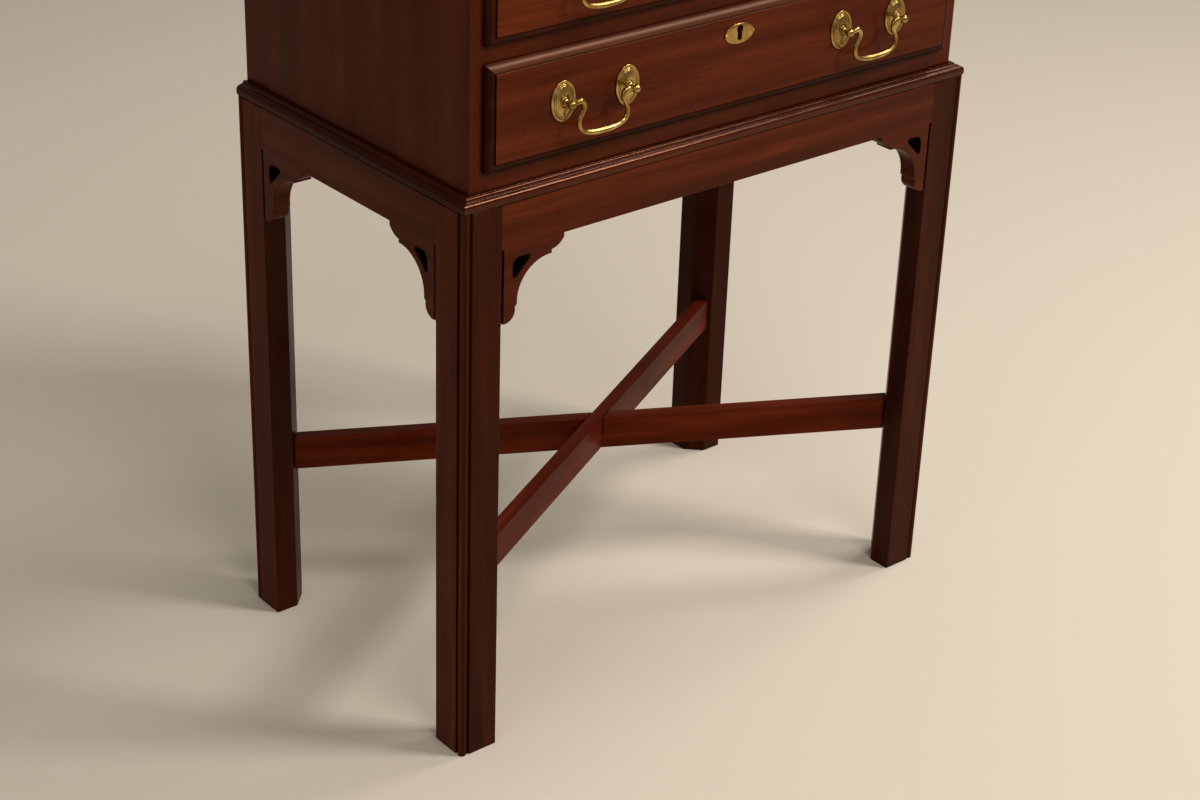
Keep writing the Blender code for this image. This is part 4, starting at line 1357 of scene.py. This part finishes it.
@dataclass
class Escutcheon:
    """A slightly domed oval plate with an open keyhole, held by a round-headed pin at each end."""

    drawer: str
    heads: SmallHeads
    edge: float = 0.55 * MM
    edge_round: float = 0.40 * MM
    dome: float = 0.45 * MM
    pin_radius: float = 1.35 * MM
    pin_rise: float = 1.3 * MM
    pin_inset: float = 0.9 * MM
    key_radius: float = 3.4 * MM
    key_rise: float = 4.1 * MM
    key_ease: float = 0.15 * MM
    # Way from the plate's edge to the keyhole at which the keyhole's eased edge begins.
    key_lip: float = 0.985
    slot_half: float = 2.5 * MM
    slot_foot: float = -5.9 * MM
    # Faces of the plate that turn by more than this are shaded apart.
    sharp: float = math.radians(55)
    points: int = 96
    edge_steps: int = 4
    dome_steps: int = 10

    def keyhole(self) -> list[tuple[float, float]]:
        """Draws the keyhole.

        Returns:
            Evenly spread points of its outline about the plate's centre, from the right, anticlockwise.
        """
        turn = math.degrees(math.asin(self.slot_half / self.key_radius))
        outline = arc((0, self.key_rise), self.key_radius, turn - 90, 270 - turn, steps=60)
        outline += arc((0, self.slot_foot + self.slot_half), self.slot_half, 180, 360, steps=30)
        start = min(range(len(outline)), key=lambda i: abs(math.atan2(outline[i][1], outline[i][0])))
        order = outline[start:] + outline[:start + 1]
        steps = [math.dist(near, far) for near, far in zip(order, order[1:])]
        total, walked, spread = sum(steps), 0.0, []
        for near, far, step in zip(order, order[1:], steps):
            while len(spread) < self.points and total * len(spread) / self.points <= walked + step:
                t = (total * len(spread) / self.points - walked) / step
                spread.append((near[0] + (far[0] - near[0]) * t, near[1] + (far[1] - near[1]) * t))
            walked += step
        return spread

    def plate_rings(self, middle: Vector, wide: float, tall: float, back: float) -> list[Ring]:
        """Rings of the plate: up its edge, in over the dome, down the keyhole and out over the back.

        Args:
            middle: Centre of the plate.
            wide: Half its width.
            tall: Half its height.
            back: Y of its back.

        Returns:
            The rings, each with the same number of points.
        """
        hole = self.keyhole()
        turns = [2 * math.pi * i / self.points for i in range(self.points)]
        soft = self.edge_round
        # Way in from the edge to the keyhole, inset from the edge, and height above the back.
        levels = [(0.0, 0.0, 0.0), (0.0, 0.0, self.edge - soft)]
        for i in range(1, self.edge_steps + 1):
            turn = math.pi / 2 * i / self.edge_steps
            levels.append((0.0, soft * (1 - math.cos(turn)), self.edge - soft + soft * math.sin(turn)))
        for i in range(1, self.dome_steps):
            t = i / self.dome_steps
            levels.append((t, soft * (1 - t), self.edge + self.dome * (1 - (1 - t) ** 2)))
        top = self.edge + self.dome
        levels += [(self.key_lip, 0.0, top), (1.0, 0.0, top - self.key_ease), (1.0, 0.0, 0.0)]
        rings = []
        for t, inset, rise in levels:
            ring = []
            for turn, (u, v) in zip(turns, hole):
                x = (1 - t) * (wide - inset) * math.cos(turn) + t * u
                z = (1 - t) * (tall - inset) * math.sin(turn) + t * v
                ring.append((middle.x + x, back - rise, middle.z + z))
            rings.append(ring)
        return rings

    def build(self) -> None:
        """Dresses the plate and its pins."""
        node = f"{self.drawer}_escutcheon"
        low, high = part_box(node)
        middle = (low + high) / 2
        wide, tall = (high.x - low.x) / 2, (high.z - low.z) / 2
        name = f"cast_{node}"
        mesh = loft(name, self.plate_rings(middle, wide, tall, high.y), pierced=True)
        mesh.set_sharp_from_angle(angle=self.sharp)
        plate = link_piece(name, mesh, BRASS, KEYHOLE_SHADE_BRASS)
        # The last band of faces is the back, and the one before it the wall of the keyhole, painted nearly
        # black as shade.
        wall = len(mesh.polygons) - 2 * self.points
        for face in mesh.polygons[wall:wall + self.points]:
            face.material_index = 1
        dress(plate, self.drawer, "brass", node)
        reach = wide - self.pin_inset
        points = [Vector((middle.x + sx * reach, high.y - self.edge, middle.z)) for sx in (-1, 1)]
        pins = self.heads.set_out(
            f"{node}_pins", points, self.pin_radius, self.pin_rise, Vector((0, -1, 0)), BRASS
        )
        dress(pins, self.drawer, "brass")


@dataclass
class Drawer:
    """A lipped drawer with its box, lock, escutcheon and two pulls."""

    name: str
    nodes: dict[str, bpy.types.Object]
    pivots: dict[str, Vector]
    wire: SweptWire
    pins: SmallHeads
    screws: SmallHeads
    front_ease: float = 0.25 * MM
    edge_width: float = 7.6 * MM
    lock_screw_radius: float = 1.9 * MM
    lock_screw_thickness: float = 0.8 * MM
    lock_screw_proud: float = 0.1 * MM
    lock_screw_inset: float = 5.0 * MM

    def dress_front(self) -> None:
        """Eases the front and gives its edges their own finishes: painted highlight on the upper edge,
        painted shade on the others.
        """
        node = f"{self.name}_front"
        shape = solid_copy(self.nodes[node])
        low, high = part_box(node)
        for face in shape.faces:
            middle = face.calc_center_median()
            if high.z - middle.z < self.edge_width:
                face.material_index = 1
            elif min(middle.x - low.x, high.x - middle.x, middle.z - low.z) < self.edge_width:
                face.material_index = 2
        # The upper edge takes the lit copy of the finish and the other edges the shaded copy: painted light
        # and shade.
        edges = (LIT_EDGE_WOOD, SHADED_EDGE_WOOD)
        piece = eased(f"eased_{node}", shape, self.front_ease, DRAWER_WOOD, others=edges)
        dress(piece, self.name, "mahogany", node)

    def add_lock_screws(self) -> None:
        """Sets a screw in each corner of the lock, on the inside of the drawer."""
        low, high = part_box(f"{self.name}_lock")
        inset = self.lock_screw_inset
        y = high.y + self.lock_screw_proud - self.lock_screw_thickness / 2
        points = [
            Vector((x, y, z))
            for x in (low.x + inset, high.x - inset)
            for z in (low.z + inset, high.z - inset)
        ]
        screws = self.screws.set_out(
            f"{self.name}_lock_screws", points, self.lock_screw_radius, self.lock_screw_thickness,
            Vector((0, 1, 0)), BRASS,
        )
        dress(screws, self.name, "brass")

    def build(self) -> None:
        """Dresses the drawer."""
        self.dress_front()
        for part, finish in (
            ("side_left", STOCK_DEEP), ("side_right", STOCK_DEEP), ("back", STOCK_ACROSS),
            ("bottom", STOCK_ACROSS), ("lock", BRASS), ("lock_bolt", BRASS),
        ):
            refinish(self.nodes[f"{self.name}_{part}"], finish)
        self.add_lock_screws()
        Escutcheon(self.name, self.pins).build()
        for side, pivot in self.pivots.items():
            BailPull(self.name, side, pivot, self.wire).build()


# Studio

@dataclass
class Lamp:
    """A soft square lamp."""

    name: str
    place: tuple[float, float, float]
    aim: tuple[float, float, float]
    size: float
    power: float
    tint: str = "#fffaf4"

    def build(self) -> None:
        """Adds the lamp."""
        light = bpy.data.lights.new(self.name, 'AREA')
        light.size = self.size
        light.energy = self.power
        light.color = linear(self.tint)[:3]
        lamp = bpy.data.objects.new(self.name, light)
        lamp.location = self.place
        lamp.rotation_euler = (Vector(self.aim) - Vector(self.place)).to_track_quat('-Z', 'Y').to_euler()
        bpy.context.scene.collection.objects.link(lamp)


@dataclass
class Studio:
    """Floor, soft light and the camera at the picture's angle."""

    floor_half: float = 9.0
    # The camera's turn round the stand, rise above it and roll, in radians.
    turn: float = -0.7067261697
    rise: float = 0.4793811467
    roll: float = 0.0352259950
    # Where the stand's middle lies in the camera's frame: right, up and away.
    target: tuple[float, float, float] = (-0.0082788, -0.1778756, 2.4245226)
    # Focal length and sensor width of the camera, in millimetres.
    lens: float = 71.932
    sensor: float = 36.0
    world: str = "#d9d4cc"
    world_strength: float = 0.36
    lamps: tuple[Lamp, ...] = (
        Lamp("key", (1.9, -2.2, 2.9), (0.0, 0.0, 0.6), 0.9, 95.0),
        Lamp("top", (1.8, -0.2, 2.7), (0.0, 0.0, 0.6), 0.9, 36.0),
        Lamp("overhead", (-0.5, -1.9, 3.1), (0.0, 0.0, 0.6), 1.2, 34.0),
        Lamp("fill", (-2.8, -1.0, 2.0), (0.0, 0.0, 0.5), 1.6, 8.0),
    )

    def add_floor(self) -> None:
        """Lays the floor."""
        shape = bmesh.new()
        bmesh.ops.create_grid(shape, x_segments=1, y_segments=1, size=self.floor_half)
        floor = link_piece("floor", to_mesh("floor", shape), StudioPaper())

    def add_light(self) -> None:
        """Lights the room and adds the lamps."""
        scene = bpy.context.scene
        scene.world = scene.world or bpy.data.worlds.new("studio")
        scene.world.use_nodes = True
        tree = scene.world.node_tree
        tree.nodes.clear()
        sky = add_node(
            tree, "ShaderNodeBackground", {"Color": linear(self.world), "Strength": self.world_strength}
        )
        add_node(tree, "ShaderNodeOutputWorld", {"Surface": sky})
        for lamp in self.lamps:
            lamp.build()
        scene.view_settings.view_transform = 'Standard'

    def add_camera(self) -> None:
        """Sets the camera up as the picture was taken."""
        middle_y = (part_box("leg_front_left")[0].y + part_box("leg_rear_left")[1].y) / 2
        flat = math.cos(self.rise)
        back = Vector((math.sin(self.turn) * flat, -math.cos(self.turn) * flat, math.sin(self.rise)))
        level = Vector((0, 0, 1)).cross(back).normalized()
        upright = back.cross(level)
        right = math.cos(self.roll) * level + math.sin(self.roll) * upright
        up = math.cos(self.roll) * upright - math.sin(self.roll) * level
        across, above, away = self.target
        place = Vector((0, middle_y, 0)) - across * right - above * up + away * back
        camera = bpy.data.cameras.new("picture_camera")
        camera.lens = self.lens
        camera.sensor_width = self.sensor
        holder = bpy.data.objects.new("picture_camera", camera)
        frame = Matrix((right, up, back)).transposed().to_4x4()
        holder.matrix_world = Matrix.Translation(place) @ frame
        bpy.context.scene.collection.objects.link(holder)
        bpy.context.scene.camera = holder

    def build(self) -> None:
        """Builds the studio."""
        self.add_floor()
        self.add_light()
        self.add_camera()


def main() -> None:
    """Dresses every piece of the chest, then builds the studio round it."""
    logging.basicConfig(level=logging.INFO, format="%(name)s: %(message)s")
    for obj in list(bpy.data.objects):
        bpy.data.objects.remove(obj, do_unlink=True)
    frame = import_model()
    nodes = frame["nodes"]
    pivots = {joint["name"]: Vector(joint["pos_m"]) for joint in frame["joints"] if "pos_m" in joint}
    wire = SweptWire()
    pins = SmallHeads(HeadForm.ROUND)
    screws = SmallHeads(HeadForm.SLOTTED)
    Stand(nodes).build()
    Case(nodes).build()
    Lid(nodes).build()
    HingeScrews(screws).build()
    for level in ("lower", "upper"):
        swings = {side: pivots[f"bail_{level}_{side}_swing"] for side in ("left", "right")}
        Drawer(f"drawer_{level}", nodes, swings, wire, pins, screws).build()
    Studio().build()


if __name__ == "__main__":
    main()
